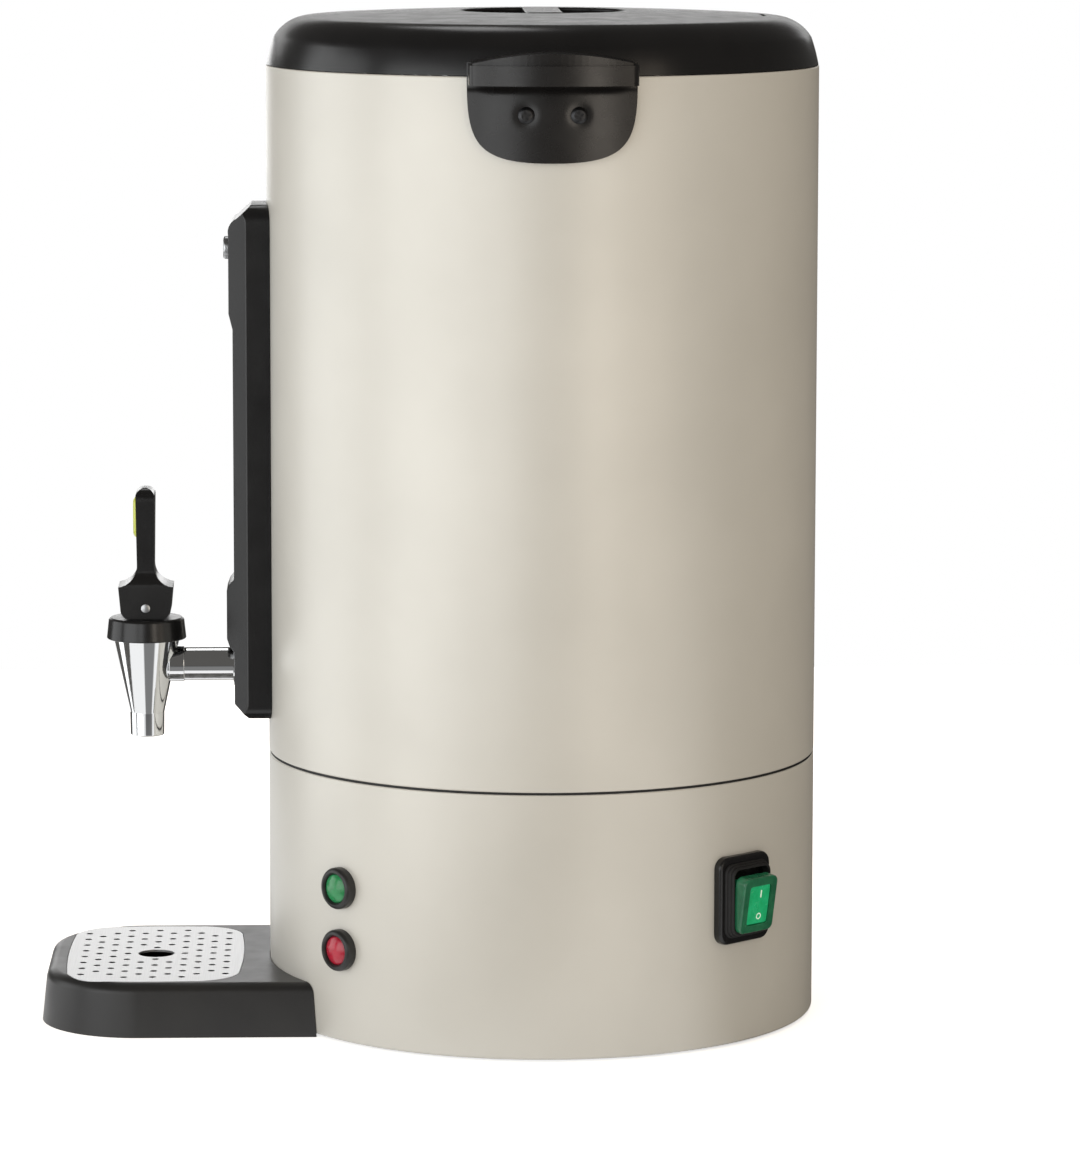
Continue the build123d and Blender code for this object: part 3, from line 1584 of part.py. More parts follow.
# Nuts that hold the lamps from inside
nut_stand_back = body_radius - sqrt((body_radius - shell_sheet) ** 2 - lamp_nut_radius ** 2) + seat_gap
with BuildPart() as lamp_nuts:
    for height in lamp_heights:
        with BuildSketch(wall_plane(lamp_azimuth, height, -nut_stand_back)):
            RegularPolygon(lamp_nut_radius, 6)
            Circle(lamp_barrel_radius + shaft_gap, mode=Mode.SUBTRACT)
        extrude(amount=-lamp_nut_height)

# Planes of the switch: its seat on the drum, and its rocker tilted about the pivot
switch_seat = wall_plane(switch_azimuth, switch_height)
rocker_lean = radians(rocker_tilt)
tilt_out = outward(switch_azimuth) * cos(rocker_lean) - Vector(0, 0, sin(rocker_lean))
rocker_seat = Plane(
    origin=outward(switch_azimuth) * (body_radius - rocker_pivot_depth) + Vector(0, 0, switch_height),
    x_dir=around(switch_azimuth),
    z_dir=tilt_out,
)
rocker_hinge = Plane(origin=rocker_seat.origin, x_dir=tilt_out, z_dir=around(switch_azimuth))

# Switch frame: bezel and raised ring outside, a body with four blades inside
with BuildPart() as switch_frame:
    with BuildSketch(wall_plane(switch_azimuth, switch_height, -cut_overrun)):
        RectangleRounded(switch_width, switch_tall, switch_corner)
    extrude(amount=cut_overrun + switch_plate)
    switch_face = switch_frame.faces().sort_by(Axis(switch_seat.origin, switch_seat.z_dir))[-1]
    fillet(switch_face.edges(), switch_plate_round)
    with BuildSketch(switch_seat):
        RectangleRounded(switch_ring_width, switch_ring_tall, switch_ring_corner)
    extrude(amount=switch_ring_height)
    with BuildSketch(Plane.XY):
        Circle(body_radius + seat_gap)
    extrude(amount=base_top, mode=Mode.SUBTRACT)
    with BuildSketch(wall_plane(switch_azimuth, switch_height, -switch_body_depth)):
        Rectangle(switch_body_width, switch_body_tall)
    extrude(amount=switch_body_depth + switch_plate)
    with BuildSketch(wall_plane(switch_azimuth, switch_height, switch_web)):
        RectangleRounded(switch_opening_width, switch_opening_tall, switch_opening_corner)
    extrude(amount=switch_ring_height, mode=Mode.SUBTRACT)
    with BuildSketch(wall_plane(switch_azimuth, switch_height, -switch_cavity_depth)):
        Rectangle(switch_cavity_width, switch_cavity_tall)
    extrude(amount=switch_cavity_depth + switch_ring_height, mode=Mode.SUBTRACT)
    with BuildSketch(rocker_hinge):
        Circle(rocker_stub_radius + shaft_gap)
    extrude(amount=switch_body_width / 2, both=True, mode=Mode.SUBTRACT)
    with BuildSketch(wall_plane(switch_azimuth, switch_height, -switch_body_depth)):
        with GridLocations(2 * switch_blade_gap, 2 * switch_blade_gap, 2, 2):
            Rectangle(switch_blade_sheet, switch_blade_width)
    extrude(amount=-switch_blade_length)

# Rocker of the switch, drawn on the plane that tilts about its pivot
with BuildPart() as switch_rocker:
    with BuildSketch(rocker_seat.offset(-rocker_low)):
        Rectangle(rocker_width, rocker_tall)
    extrude(amount=rocker_low + rocker_face)
    with BuildSketch(rocker_hinge):
        Circle(rocker_stub_radius)
    extrude(amount=switch_body_width / 2 - rocker_stub_gap, both=True)

# Soft translucent boot round the rocker
with BuildPart() as switch_boot:
    with BuildSketch(rocker_seat.offset(boot_low)):
        RectangleRounded(boot_width, boot_tall, boot_corner)
    extrude(amount=boot_face - boot_low)
    boot_top = switch_boot.faces().sort_by(Axis(rocker_seat.origin, tilt_out))[-1]
    fillet(boot_top.edges(), boot_round)
    with BuildSketch(rocker_seat.offset(boot_low)):
        Rectangle(rocker_width + 2 * shaft_gap, rocker_tall + 2 * shaft_gap)
    extrude(amount=boot_face - boot_low + cut_overrun, mode=Mode.SUBTRACT)

# Cord inlet: a bored gland through the back of the base shell
with BuildPart() as cord_gland:
    with BuildSketch(turning_plane(inlet_azimuth, inlet_height)):
        Polygon(
            (0, -shell_sheet),
            (inlet_flange_radius, -shell_sheet),
            (inlet_flange_radius, inlet_flange_sheet),
            (inlet_shank_radius, inlet_flange_sheet),
            (inlet_nose_radius, inlet_nose_length),
            (0, inlet_nose_length),
            align=None,
        )
    revolve(axis=turning_axis(inlet_azimuth, inlet_height))
    with BuildSketch(Plane.XY):
        Circle(body_radius + seat_gap)
    extrude(amount=base_top, mode=Mode.SUBTRACT)
    with BuildSketch(wall_plane(inlet_azimuth, inlet_height, -inlet_neck_length)):
        Circle(inlet_neck_radius)
    extrude(amount=inlet_neck_length + inlet_flange_sheet)
    with BuildSketch(wall_plane(inlet_azimuth, inlet_height, -inlet_neck_length)):
        Circle(inlet_bore_radius)
    extrude(amount=inlet_neck_length + inlet_nose_length, mode=Mode.SUBTRACT)

# Heat plate pressed up under the well
heat_plate_low = well_low - heat_plate_height
with BuildPart() as heat_plate:
    with BuildSketch(Plane.XY.offset(heat_plate_low)):
        Circle(heat_plate_radius)
    extrude(amount=heat_plate_height)


# Heaters: a small one under the pump's well and a wide one under the tank's floor
heaters = {}
heater_start = (full_turn - heater_sweep) / 2
heater_plane = Plane(
    origin=(0, 0, 0), x_dir=outward(heater_start), z_dir=-around(heater_start)
)
for name, ring_radius, top in (
    ("pump_heater", pump_heater_radius, heat_plate_low),
    ("warm_heater", warm_heater_radius, tank_floor_low),
):
    with BuildPart() as heater:
        with BuildSketch(heater_plane):
            with Locations((ring_radius, top - heater_height / 2)):
                Rectangle(heater_width, heater_height)
            fillet(vertices().group_by(Axis.Y)[0], heater_round)
        revolve(axis=Axis.Z, revolution_arc=heater_sweep)
        for turn in (heater_start, -heater_start):
            pin_foot = outward(turn) * ring_radius + Vector(0, 0, top - heater_height / 2)
            pin_way = around(turn) * (-1 if turn > 0 else 1)
            with BuildSketch(Plane(origin=pin_foot, x_dir=(0, 0, 1), z_dir=pin_way)):
                Circle(heater_pin_radius)
            extrude(amount=heater_pin_length)
    heaters[name] = heater

# Thermostat and safety cut-out, held up under the tank's floor
controls = {}
for name, azimuth in (("thermostat", thermostat_azimuth), ("safety_cutout", cutout_azimuth)):
    place = outward(azimuth) * control_place_radius
    with BuildPart() as control:
        with BuildSketch(Plane(origin=place + Vector(0, 0, tank_floor_low))):
            Circle(control_radius + control_flange)
        extrude(amount=-control_flange_height)
        with BuildSketch(Plane(origin=place + Vector(0, 0, tank_floor_low))):
            Circle(control_radius)
        extrude(amount=-control_height)
        with BuildSketch(Plane(origin=place + Vector(0, 0, tank_floor_low - control_height))):
            with GridLocations(2 * control_blade_gap, 0, 2, 1):
                Rectangle(control_blade_sheet, control_blade_width)
        extrude(amount=-control_blade_length)
    controls[name] = control

# Terminal block on the base plate
with BuildPart() as terminal_block:
    with BuildSketch(Plane.XY.offset(plate_top)):
        with Locations((-terminal_place, 0)):
            Rectangle(terminal_width, terminal_length)
    extrude(amount=terminal_height)
    with BuildSketch(Plane.XY.offset(plate_top + terminal_height)):
        with Locations((-terminal_place, 0)):
            with GridLocations(
                terminal_width / 2, terminal_length / terminal_pole_count, 2, terminal_pole_count
            ):
                Circle(terminal_screw_radius)
    extrude(amount=-terminal_screw_depth, mode=Mode.SUBTRACT)

pieces = {
    **base_panels,
    "foot_ring": foot_ring,
    "joint_ring": joint_ring,
    "seam_gasket": seam_gasket,
    "base_plate": base_plate,
    "rubber_feet": rubber_feet,
    "base_screws": base_screws,
    "body_shell": body_shell,
    "inner_tank": inner_tank,
    "rim_collar": rim_collar,
    "lid_seal": lid_seal,
    "lid_liner": lid_liner,
    "lid_shell": lid_shell,
    "lid_screws": lid_screws,
    "pump_stem": pump_stem,
    "pump_valve": pump_valve,
    "coffee_basket": coffee_basket,
    "basket_spreader": basket_spreader,
    "handle_right": handle_right,
    "handle_left": handle_left,
    "handle_screws": handle_screws,
    "gauge_housing": gauge_housing,
    "column_screw": column_screw,
    "sight_glass": sight_glass,
    "glass_seals": glass_seals,
    "gauge_scale": gauge_scale,
    "tap_body": tap_body,
    "tap_sleeve": tap_sleeve,
    "tap_gasket": tap_gasket,
    "tap_nut": tap_nut,
    "tap_cap": tap_cap,
    "tap_stem": tap_stem,
    "tap_seat_cup": tap_seat_cup,
    "tap_spring": tap_spring,
    "tap_lever": tap_lever,
    "lever_pin": lever_pin,
    "lever_insert": lever_insert,
    "drip_tray": drip_tray,
    "tray_grid": tray_grid,
    "lamp_rings": lamp_rings,
    "lamp_lens_red": lamp_lens_red,
    "lamp_lens_green": lamp_lens_green,
    "lamp_barrels": lamp_barrels,
    "lamp_nuts": lamp_nuts,
    "switch_frame": switch_frame,
    "switch_rocker": switch_rocker,
    "switch_boot": switch_boot,
    "cord_gland": cord_gland,
    "heat_plate": heat_plate,
    "terminal_block": terminal_block,
    **heaters,
    **controls,
}
for name, piece in pieces.items():
    piece.part.label = name
    export_step(piece.part, f"parts/{name}.step")
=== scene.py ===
# %% [markdown]
# # Coffee percolator
# The object is a tall painted steel drum with a black moulded lid, two lift handles, a black
# column with a sight glass, a chrome tap with a black lever, a drip tray, two lamps and a
# rocker switch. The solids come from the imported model, which stays as it is. This lesson
# dresses it: each visible piece is modelled again with soft edges, and every surface gets a
# material that behaves like the real one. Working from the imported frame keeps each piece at
# its real size and on the body that it moves with.

# %% Load the frame and keep its size
import json
from math import atan2, cos, pi, radians, sin, sqrt, tan

import bmesh
import bpy
from mathutils import Matrix, Vector
from mathutils.geometry import interpolate_bezier

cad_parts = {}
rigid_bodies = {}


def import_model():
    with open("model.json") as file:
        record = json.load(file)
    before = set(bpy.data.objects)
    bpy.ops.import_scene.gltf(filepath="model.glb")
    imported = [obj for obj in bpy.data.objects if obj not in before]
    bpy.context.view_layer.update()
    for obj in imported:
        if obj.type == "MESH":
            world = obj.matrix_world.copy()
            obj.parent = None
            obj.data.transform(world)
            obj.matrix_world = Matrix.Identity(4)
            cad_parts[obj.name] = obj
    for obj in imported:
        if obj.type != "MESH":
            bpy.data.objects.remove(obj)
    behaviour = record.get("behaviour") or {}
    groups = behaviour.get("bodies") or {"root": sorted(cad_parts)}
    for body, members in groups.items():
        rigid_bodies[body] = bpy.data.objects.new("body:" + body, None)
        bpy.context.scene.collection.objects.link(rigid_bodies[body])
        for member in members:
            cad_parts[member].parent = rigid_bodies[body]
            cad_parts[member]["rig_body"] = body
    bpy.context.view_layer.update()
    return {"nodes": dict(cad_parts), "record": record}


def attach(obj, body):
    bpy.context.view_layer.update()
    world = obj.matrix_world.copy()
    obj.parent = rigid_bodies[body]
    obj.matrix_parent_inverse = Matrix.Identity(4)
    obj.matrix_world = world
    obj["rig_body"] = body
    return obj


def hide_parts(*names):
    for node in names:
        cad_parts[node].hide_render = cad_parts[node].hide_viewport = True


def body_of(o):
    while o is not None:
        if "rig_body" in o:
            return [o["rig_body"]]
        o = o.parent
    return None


MM = 0.001
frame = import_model()
nodes = frame["nodes"]


# %% Sizes that several pieces share, in millimetres
drum_radius = 125.0
column_front = 140.4
tap_reach = 180.8
pipe_height = 159.3
print("drum", 2 * drum_radius, "wide, tap's axis", tap_reach, "in front of the drum's axis")

# %% [markdown]
# ## Camera
# The photograph was taken from the right side with a long lens, slightly from above. A long
# lens could be faked with a parallel camera, but the rims of the drum show a small
# perspective, so a real camera is set at the distance that the rims give.

# %% Camera at the photograph's viewing angle, with its place in metres
photo_height = 1157
focal_pixels = 5487.5
sideways_pixels = -1.6
sensor_width = 36.0
far_clip = 50.0
camera_place = (2.4879, -0.0869, 0.5454)
camera_turn = radians(2.0)
camera_dip = radians(7.945)
camera_roll = radians(0.0875)

camera_data = bpy.data.cameras.new("photo_camera")
camera_data.sensor_width = sensor_width
camera_data.lens = focal_pixels * sensor_width / photo_height
camera_data.shift_x = sideways_pixels / photo_height
camera_data.clip_end = far_clip
camera = bpy.data.objects.new("photo_camera", camera_data)
bpy.context.scene.collection.objects.link(camera)
camera.location = camera_place
look = Vector((-cos(camera_turn) * cos(camera_dip), sin(camera_turn) * cos(camera_dip), -sin(camera_dip)))
aimed = look.to_track_quat("-Z", "Y")
camera.rotation_mode = "QUATERNION"
camera.rotation_quaternion = aimed @ Matrix.Rotation(camera_roll, 4, "Z").to_quaternion()
bpy.context.scene.camera = camera
print("lens in mm", round(camera_data.lens, 1))

# %% [markdown]
# ## Background
# The photograph is a cut-out on white. White could come from strong light, but that would
# wash out the drum. Here the world is white only to the camera and through glass. To painted
# surfaces it is a faint warm fill, and to mirrors it is dark, so that the chrome shows the
# lamps and the floor.

# %% World that is white to the camera only
scene = bpy.context.scene
scene.view_settings.view_transform = "Standard"
WHITE = (1, 1, 1, 1)


def linear(code):
    """sRGB hex colour as linear RGBA"""
    channels = [int(code[i:i + 2], 16) / 255 for i in (1, 3, 5)]
    return [c / 12.92 if c <= 0.04045 else ((c + 0.055) / 1.055) ** 2.4 for c in channels] + [1.0]


def add(tree, kind, settings=None, links=None, **attributes):
    """Adds one node, sets its inputs and attributes, and links its inputs to other sockets"""
    node = tree.nodes.new(kind)
    for name, value in attributes.items():
        setattr(node, name, value)
    for key, value in (settings or {}).items():
        node.inputs[key].default_value = value
    for key, socket in (links or {}).items():
        tree.links.new(socket, node.inputs[key])
    return node


world = bpy.data.worlds.new("studio")
scene.world = world
world.use_nodes = True
tree = world.node_tree
tree.nodes.clear()
path = add(tree, "ShaderNodeLightPath")
seen = add(tree, "ShaderNodeMath", operation="MAXIMUM",
           links={0: path.outputs["Is Camera Ray"], 1: path.outputs["Is Transmission Ray"]})
fill = add(tree, "ShaderNodeBackground", {"Color": linear("#FFF0DC"), "Strength": 0.5})
mirrored = add(tree, "ShaderNodeBackground", {"Color": linear("#FFFBF5"), "Strength": 0.1})
white = add(tree, "ShaderNodeBackground", {"Color": WHITE, "Strength": 1.0})
unseen = add(tree, "ShaderNodeMixShader",
             links={0: path.outputs["Is Glossy Ray"], 1: fill.outputs[0], 2: mirrored.outputs[0]})
both = add(tree, "ShaderNodeMixShader", links={0: seen.outputs[0], 1: unseen.outputs[0], 2: white.outputs[0]})
add(tree, "ShaderNodeOutputWorld", links={"Surface": both.outputs[0]})
print("world nodes", len(tree.nodes))

# %% [markdown]
# ## Floor
# In the photograph only a faint shadow is left of the floor. A white card would do, but it
# would turn grey where the lamps fall off. So the floor adds a glow that only the camera
# sees, weak round the drum, where the shadow lies, and full further out.

# %% Sheet of the floor, with its edges in metres
floor_front, floor_back, floor_side = -0.48, 1.0, 1.0
floor_middle, floor_half = (floor_front + floor_back) / 2, (floor_back - floor_front) / 2
floor_bm = bmesh.new()
bmesh.ops.create_grid(floor_bm, x_segments=1, y_segments=1, size=floor_side)
bmesh.ops.scale(floor_bm, verts=floor_bm.verts[:], vec=(1, floor_half / floor_side, 1))
bmesh.ops.translate(floor_bm, verts=floor_bm.verts[:], vec=(0, floor_middle, 0))
floor_mesh = bpy.data.meshes.new("floor")
floor_bm.to_mesh(floor_mesh)
floor_bm.free()
floor = bpy.data.objects.new("floor", floor_mesh)
scene.collection.objects.link(floor)
print("floor from", floor_front, "to", floor_back, "m along Y")

# %% Floor as the camera sees it
floor_paint = bpy.data.materials.new("white sweep")
floor_paint.use_nodes = True
floor_mesh.materials.append(floor_paint)
tree = floor_paint.node_tree
tree.nodes.clear()
path = add(tree, "ShaderNodeLightPath")
coordinates = add(tree, "ShaderNodeTexCoord")
diffuse = add(tree, "ShaderNodeBsdfDiffuse", {"Color": linear("#F4F4F4")})
from_drum = add(tree, "ShaderNodeVectorMath", links={0: coordinates.outputs["Object"]}, operation="LENGTH")
near_glow, full_glow = 0.6, 1.0
whiter = add(tree, "ShaderNodeMapRange",
             {"From Min": 0.25, "From Max": 0.6, "To Min": near_glow, "To Max": full_glow},
             {"Value": from_drum.outputs["Value"]})
glow = add(tree, "ShaderNodeEmission", {"Color": WHITE}, {"Strength": whiter.outputs[0]})
lit = add(tree, "ShaderNodeAddShader", links={0: diffuse.outputs[0], 1: glow.outputs[0]})
print("floor glow from", near_glow, "to", full_glow)

# %% [markdown]
# ### What mirrors see of the floor
# Chrome needs something dark to look like chrome, so a photographer stands grey and black
# cards round it. Real cards would throw shadows, so here they are sectors of the floor, round
# the tap's axis, and only mirrors see them. Next to the tap the floor stays white, which
# gives the pipe its bright lower edge.

# %% Cards round the tap: angles are shares of a turn, distances are metres
card_stops = ((0.47, 1.0), (0.48, 0.22), (0.585, 0.22), (0.6, 1.0), (0.68, 1.0), (0.7, 0.06))
about_tap = add(tree, "ShaderNodeMapping", {"Location": (0, tap_reach * MM, 0)},
                {"Vector": coordinates.outputs["Object"]})
sector = add(tree, "ShaderNodeTexGradient", links={"Vector": about_tap.outputs[0]}, gradient_type="RADIAL")
cards = add(tree, "ShaderNodeValToRGB", links={"Fac": sector.outputs["Fac"]})
stops = cards.color_ramp.elements
stops[0].position, stops[1].position = card_stops[0][0], card_stops[1][0]
for position, _ in card_stops[2:]:
    stops.new(position)
for stop, (_, level) in zip(stops, card_stops):
    stop.color = (level, level, level, 1)

# Further out on the camera's side the floor gets darker, most of all on the right of the tap
split = add(tree, "ShaderNodeSeparateXYZ", links={"Vector": coordinates.outputs["Object"]})
far_level = add(tree, "ShaderNodeMapRange",
                {"From Min": 0.45, "From Max": 0.47, "To Min": 0.9, "To Max": 0.3},
                {"Value": sector.outputs["Fac"]})
darker = add(tree, "ShaderNodeMapRange", {"From Min": 0.45, "From Max": 0.9, "To Min": 1.0},
             {"Value": split.outputs["X"], "To Max": far_level.outputs[0]})
carded = add(tree, "ShaderNodeMath", operation="MULTIPLY",
             links={0: darker.outputs[0], 1: cards.outputs["Color"]})
from_tap = add(tree, "ShaderNodeVectorMath", links={0: about_tap.outputs[0]}, operation="LENGTH")
near_tap = add(tree, "ShaderNodeMapRange", {"From Min": 0.17, "From Max": 0.18, "To Min": 1.0, "To Max": 0.0},
               {"Value": from_tap.outputs["Value"]})
brightness = add(tree, "ShaderNodeMath", operation="MAXIMUM",
                 links={0: carded.outputs[0], 1: near_tap.outputs[0]})
mirrored = add(tree, "ShaderNodeEmission", {"Color": WHITE}, {"Strength": brightness.outputs[0]})
print("cards", len(stops))

# %% Put the looks of the floor together
unseen = add(tree, "ShaderNodeMixShader",
             links={0: path.outputs["Is Glossy Ray"], 1: diffuse.outputs[0], 2: mirrored.outputs[0]})
both = add(tree, "ShaderNodeMixShader",
           links={0: path.outputs["Is Camera Ray"], 1: unseen.outputs[0], 2: lit.outputs[0]})
add(tree, "ShaderNodeOutputMaterial", links={"Surface": both.outputs[0]})
print("floor nodes", len(tree.nodes))

# %% [markdown]
# ## Lamps
# The drum shows broad bands: bright on its left third, then slowly darker and warmer to the
# right. One big lamp would give a single band. Tall soft boxes round the front give one band
# each, so that each can be weighed by itself, and low boxes at the back light the tray and
# the lid's top. Neutral lamps stand on the left and warm ones on the right.

# %% Soft boxes
aim = Vector((0, 0, 0.23))


def soft_box(name, degrees, distance, height, width, tall, power, tint):
    """A rectangular lamp at an angle round the drum from the camera's side, which points at the drum"""
    turn = radians(degrees)
    place = Vector((distance * cos(turn), distance * sin(turn), height))
    data = bpy.data.lights.new(name, "AREA")
    data.shape = "RECTANGLE"
    data.size, data.size_y = width, tall
    data.energy = power
    data.color = linear(tint)[:3]
    lamp = bpy.data.objects.new(name, data)
    scene.collection.objects.link(lamp)
    lamp.visible_camera = False
    lamp.location = place
    lamp.rotation_mode = "QUATERNION"
    lamp.rotation_quaternion = (aim - place).to_track_quat("-Z", "Y")
    return lamp


neutral, warm, warmer, plain = "#FCFEFF", "#FFF4E6", "#FFEEDA", "#FFFFFF"
# Name, degrees, distance and height of its middle, its width and height, watts, colour; in metres
boxes = (
    ("left_box", -98, 2.2, 0.25, 1.5, 2.0, 15, neutral),
    ("left_front_box", -50, 2.2, 0.25, 1.6, 2.0, 21, neutral),
    ("front_box", -19, 2.2, 0.3, 0.55, 1.9, 6.8, neutral),
    ("right_front_box", 21, 2.2, 0.3, 0.4, 1.9, 7.5, warm),
    ("right_box", 42, 2.2, 0.4, 0.6, 1.9, 3.9, warmer),
    ("rear_low_box", 186, 2.3, 0.33, 1.4, 0.4, 4.4, plain),
    ("rear_high_box", 184, 2.3, 0.85, 3.0, 0.45, 3.8, plain),
    ("top_box", 90, 0.05, 2.1, 1.7, 1.7, 10, warm),
    ("tap_strip", 190, 0.95, 1.7, 0.3, 0.6, 1.2, plain),
)
lamps = {row[0]: soft_box(*row) for row in boxes}
lamps["top_box"].visible_glossy = False
lamps["tap_strip"].visible_diffuse = False
print("lamps", list(lamps))

# %% [markdown]
# ## Materials
# Each finish is built from what the real surface is. A flat colour would look like paper, so
# every material gets a fine relief or a slight change of gloss, at a real size in
# millimetres. Relief that is finer than a pixel is drawn a little coarser, so that it shows.

# %% Helpers that start a material and let it vary
def new_material(name, constants=None):
    """A material whose Principled shader gets some constants; returns material, tree and shader"""
    material = bpy.data.materials.new(name)
    material.use_nodes = True
    shader = material.node_tree.nodes["Principled BSDF"]
    for socket, value in (constants or {}).items():
        shader.inputs[socket].default_value = value
    return material, material.node_tree, shader


def place_in_mm(tree):
    """Object coordinates in millimetres"""
    coordinates = add(tree, "ShaderNodeTexCoord")
    scaled = add(tree, "ShaderNodeMapping", {"Scale": (1 / MM, 1 / MM, 1 / MM)},
                 {"Vector": coordinates.outputs["Object"]})
    return scaled.outputs[0]


def relief(tree, shader, where, grain_mm, height_mm, strength):
    """Fine bump of one grain size"""
    noise = add(tree, "ShaderNodeTexNoise", {"Scale": 1 / grain_mm, "Detail": 2.0}, {"Vector": where})
    bump = add(tree, "ShaderNodeBump", {"Strength": strength, "Distance": height_mm * MM},
               {"Height": noise.outputs["Fac"]})
    tree.links.new(bump.outputs[0], shader.inputs["Normal"])


def varied(tree, shader, socket, where, size_mm, low, high):
    """Lets one number of the shader drift between two values over a size in millimetres"""
    noise = add(tree, "ShaderNodeTexNoise", {"Scale": 1 / size_mm, "Detail": 3.0}, {"Vector": where})
    span = {"From Min": 0.3, "From Max": 0.7, "To Min": low, "To Max": high}
    spread = add(tree, "ShaderNodeMapRange", span, {"Value": noise.outputs["Fac"]})
    tree.links.new(spread.outputs[0], shader.inputs[socket])


def tinted(tree, shader, where, size_mm, first, second):
    """Lets the colour drift between two near shades over a size in millimetres"""
    noise = add(tree, "ShaderNodeTexNoise", {"Scale": 1 / size_mm, "Detail": 3.0}, {"Vector": where})
    ramp = add(tree, "ShaderNodeValToRGB", links={"Fac": noise.outputs["Fac"]})
    for stop, position, code in zip(ramp.color_ramp.elements, (0.35, 0.65), (first, second)):
        stop.position, stop.color = position, linear(code)
    tree.links.new(ramp.outputs["Color"], shader.inputs["Base Color"])


# %% [markdown]
# ### Paint of the drum
# Powder coat in a light grey with a little pearl: sprayed, then baked, so its surface has a
# slight orange peel of about 1.5 mm. A plain grey would look like card, while a thin clear
# coat over it shows the soft boxes as broad satin bands, as the real drum does.

# %% Powder coat
def powder_coat():
    """Drum paint; its pearl is drawn as a low metallic share, its gloss as a rough clear coat"""
    material, tree, shader = new_material(
        "pearl powder coat", {"Metallic": 0.15, "Coat Weight": 0.4, "Coat Roughness": 0.3})
    where = place_in_mm(tree)
    tinted(tree, shader, where, 60, "#C8C8C3", "#CCCCC7")
    varied(tree, shader, "Roughness", where, 25, 0.38, 0.42)
    relief(tree, shader, where, 1.5, 0.02, 0.12)
    return material


# %% [markdown]
# ### Black mouldings
# Heat-proof plastic, moulded in a tool with a fine spark finish. Black alone would hide the
# shapes; the fine grain and a satin gloss draw a soft line of light along every edge.

# %% Black plastics
def moulding(name, colours, gloss, grain_mm, height_mm):
    """Moulded plastic; gloss is the span of its roughness, grain and height are those of its skin"""
    material, tree, shader = new_material(name)
    where = place_in_mm(tree)
    tinted(tree, shader, where, 30, *colours)
    varied(tree, shader, "Roughness", where, 12, *gloss)
    relief(tree, shader, where, grain_mm, height_mm, 0.07)
    return material


# %% [markdown]
# ### Metals
# Chrome plate is nearly a mirror, so its look comes from what it reflects. Brushed steel has
# fine scratches in one direction, which stretch the highlight; they are drawn as a noise
# that is stretched along the brushing.

# %% Chrome, steel and other metals
def chrome_plate():
    """Mirror plate whose polish changes a little over some millimetres"""
    material, tree, shader = new_material(
        "polished chrome plate", {"Base Color": linear("#F0F1F2"), "Metallic": 1.0})
    where = place_in_mm(tree)
    varied(tree, shader, "Roughness", where, 8, 0.04, 0.08)
    relief(tree, shader, where, 4.0, 0.01, 0.05)
    return material


def brushed_metal(name, colours, stretch, gloss):
    """Metal with scratches; stretch is the size of a scratch along X, Y and Z in millimetres"""
    material, tree, shader = new_material(name, {"Metallic": 1.0})
    coordinates = add(tree, "ShaderNodeTexCoord")
    scratch = add(tree, "ShaderNodeMapping", {"Scale": tuple(1 / (s * MM) for s in stretch)},
                  {"Vector": coordinates.outputs["Object"]})
    noise = add(tree, "ShaderNodeTexNoise", {"Scale": 1.0, "Detail": 2.0}, {"Vector": scratch.outputs[0]})
    ramp = add(tree, "ShaderNodeValToRGB", links={"Fac": noise.outputs["Fac"]})
    for stop, position, code in zip(ramp.color_ramp.elements, (0.3, 0.7), colours):
        stop.position, stop.color = position, linear(code)
    tree.links.new(ramp.outputs["Color"], shader.inputs["Base Color"])
    rough = add(tree, "ShaderNodeMapRange", {"To Min": gloss[0], "To Max": gloss[1]},
                {"Value": noise.outputs["Fac"]})
    tree.links.new(rough.outputs[0], shader.inputs["Roughness"])
    bump = add(tree, "ShaderNodeBump", {"Strength": 0.15, "Distance": 0.01 * MM},
               {"Height": noise.outputs["Fac"]})
    tree.links.new(bump.outputs[0], shader.inputs["Normal"])
    return material


# %% [markdown]
# ### Clear and coloured parts
# Lenses, the switch cover and the sight glass let light in. Glass bends light, so the tube
# gets real transmission. The coloured plastics could have it too, but some light passing
# under the surface is cheaper to draw and gives the same milky depth.

# %% Glass, coloured plastics and the ink of the marks
def clear_glass():
    """Drawn tube glass with the refraction of ordinary glass"""
    material, tree, shader = new_material(
        "clear glass tube", {"Base Color": linear("#F2F7F6"), "Transmission Weight": 1.0, "IOR": 1.47})
    varied(tree, shader, "Roughness", place_in_mm(tree), 15, 0.0, 0.03)
    return material


def coloured_plastic(name, colours, gloss, depth=0.25):
    """Plastic that light enters; depth is the share of the light that comes from under the surface"""
    material, tree, shader = new_material(
        name, {"Subsurface Weight": depth, "Subsurface Radius": (1.0, 1.0, 1.0), "Subsurface Scale": 2.0 * MM,
               "Coat Weight": 0.3, "Coat Roughness": 0.1})
    where = place_in_mm(tree)
    tinted(tree, shader, where, 6, *colours)
    varied(tree, shader, "Roughness", where, 5, *gloss)
    relief(tree, shader, where, 0.8, 0.01, 0.15)
    return material


def mark_ink_with_painted_glow():
    """Pale ink with a faint painted glow, which keeps the marks bright where little lamp light reaches that
    side of the drum
    """
    # The emission is a painted glow: no lamp lights the marks
    material, tree, shader = new_material(
        "pale mark ink", {"Emission Color": linear("#D8FFEC"), "Emission Strength": 0.15})
    where = place_in_mm(tree)
    tinted(tree, shader, where, 1, "#DDF3E6", "#E8FAF0")
    varied(tree, shader, "Roughness", where, 1, 0.35, 0.5)
    return material


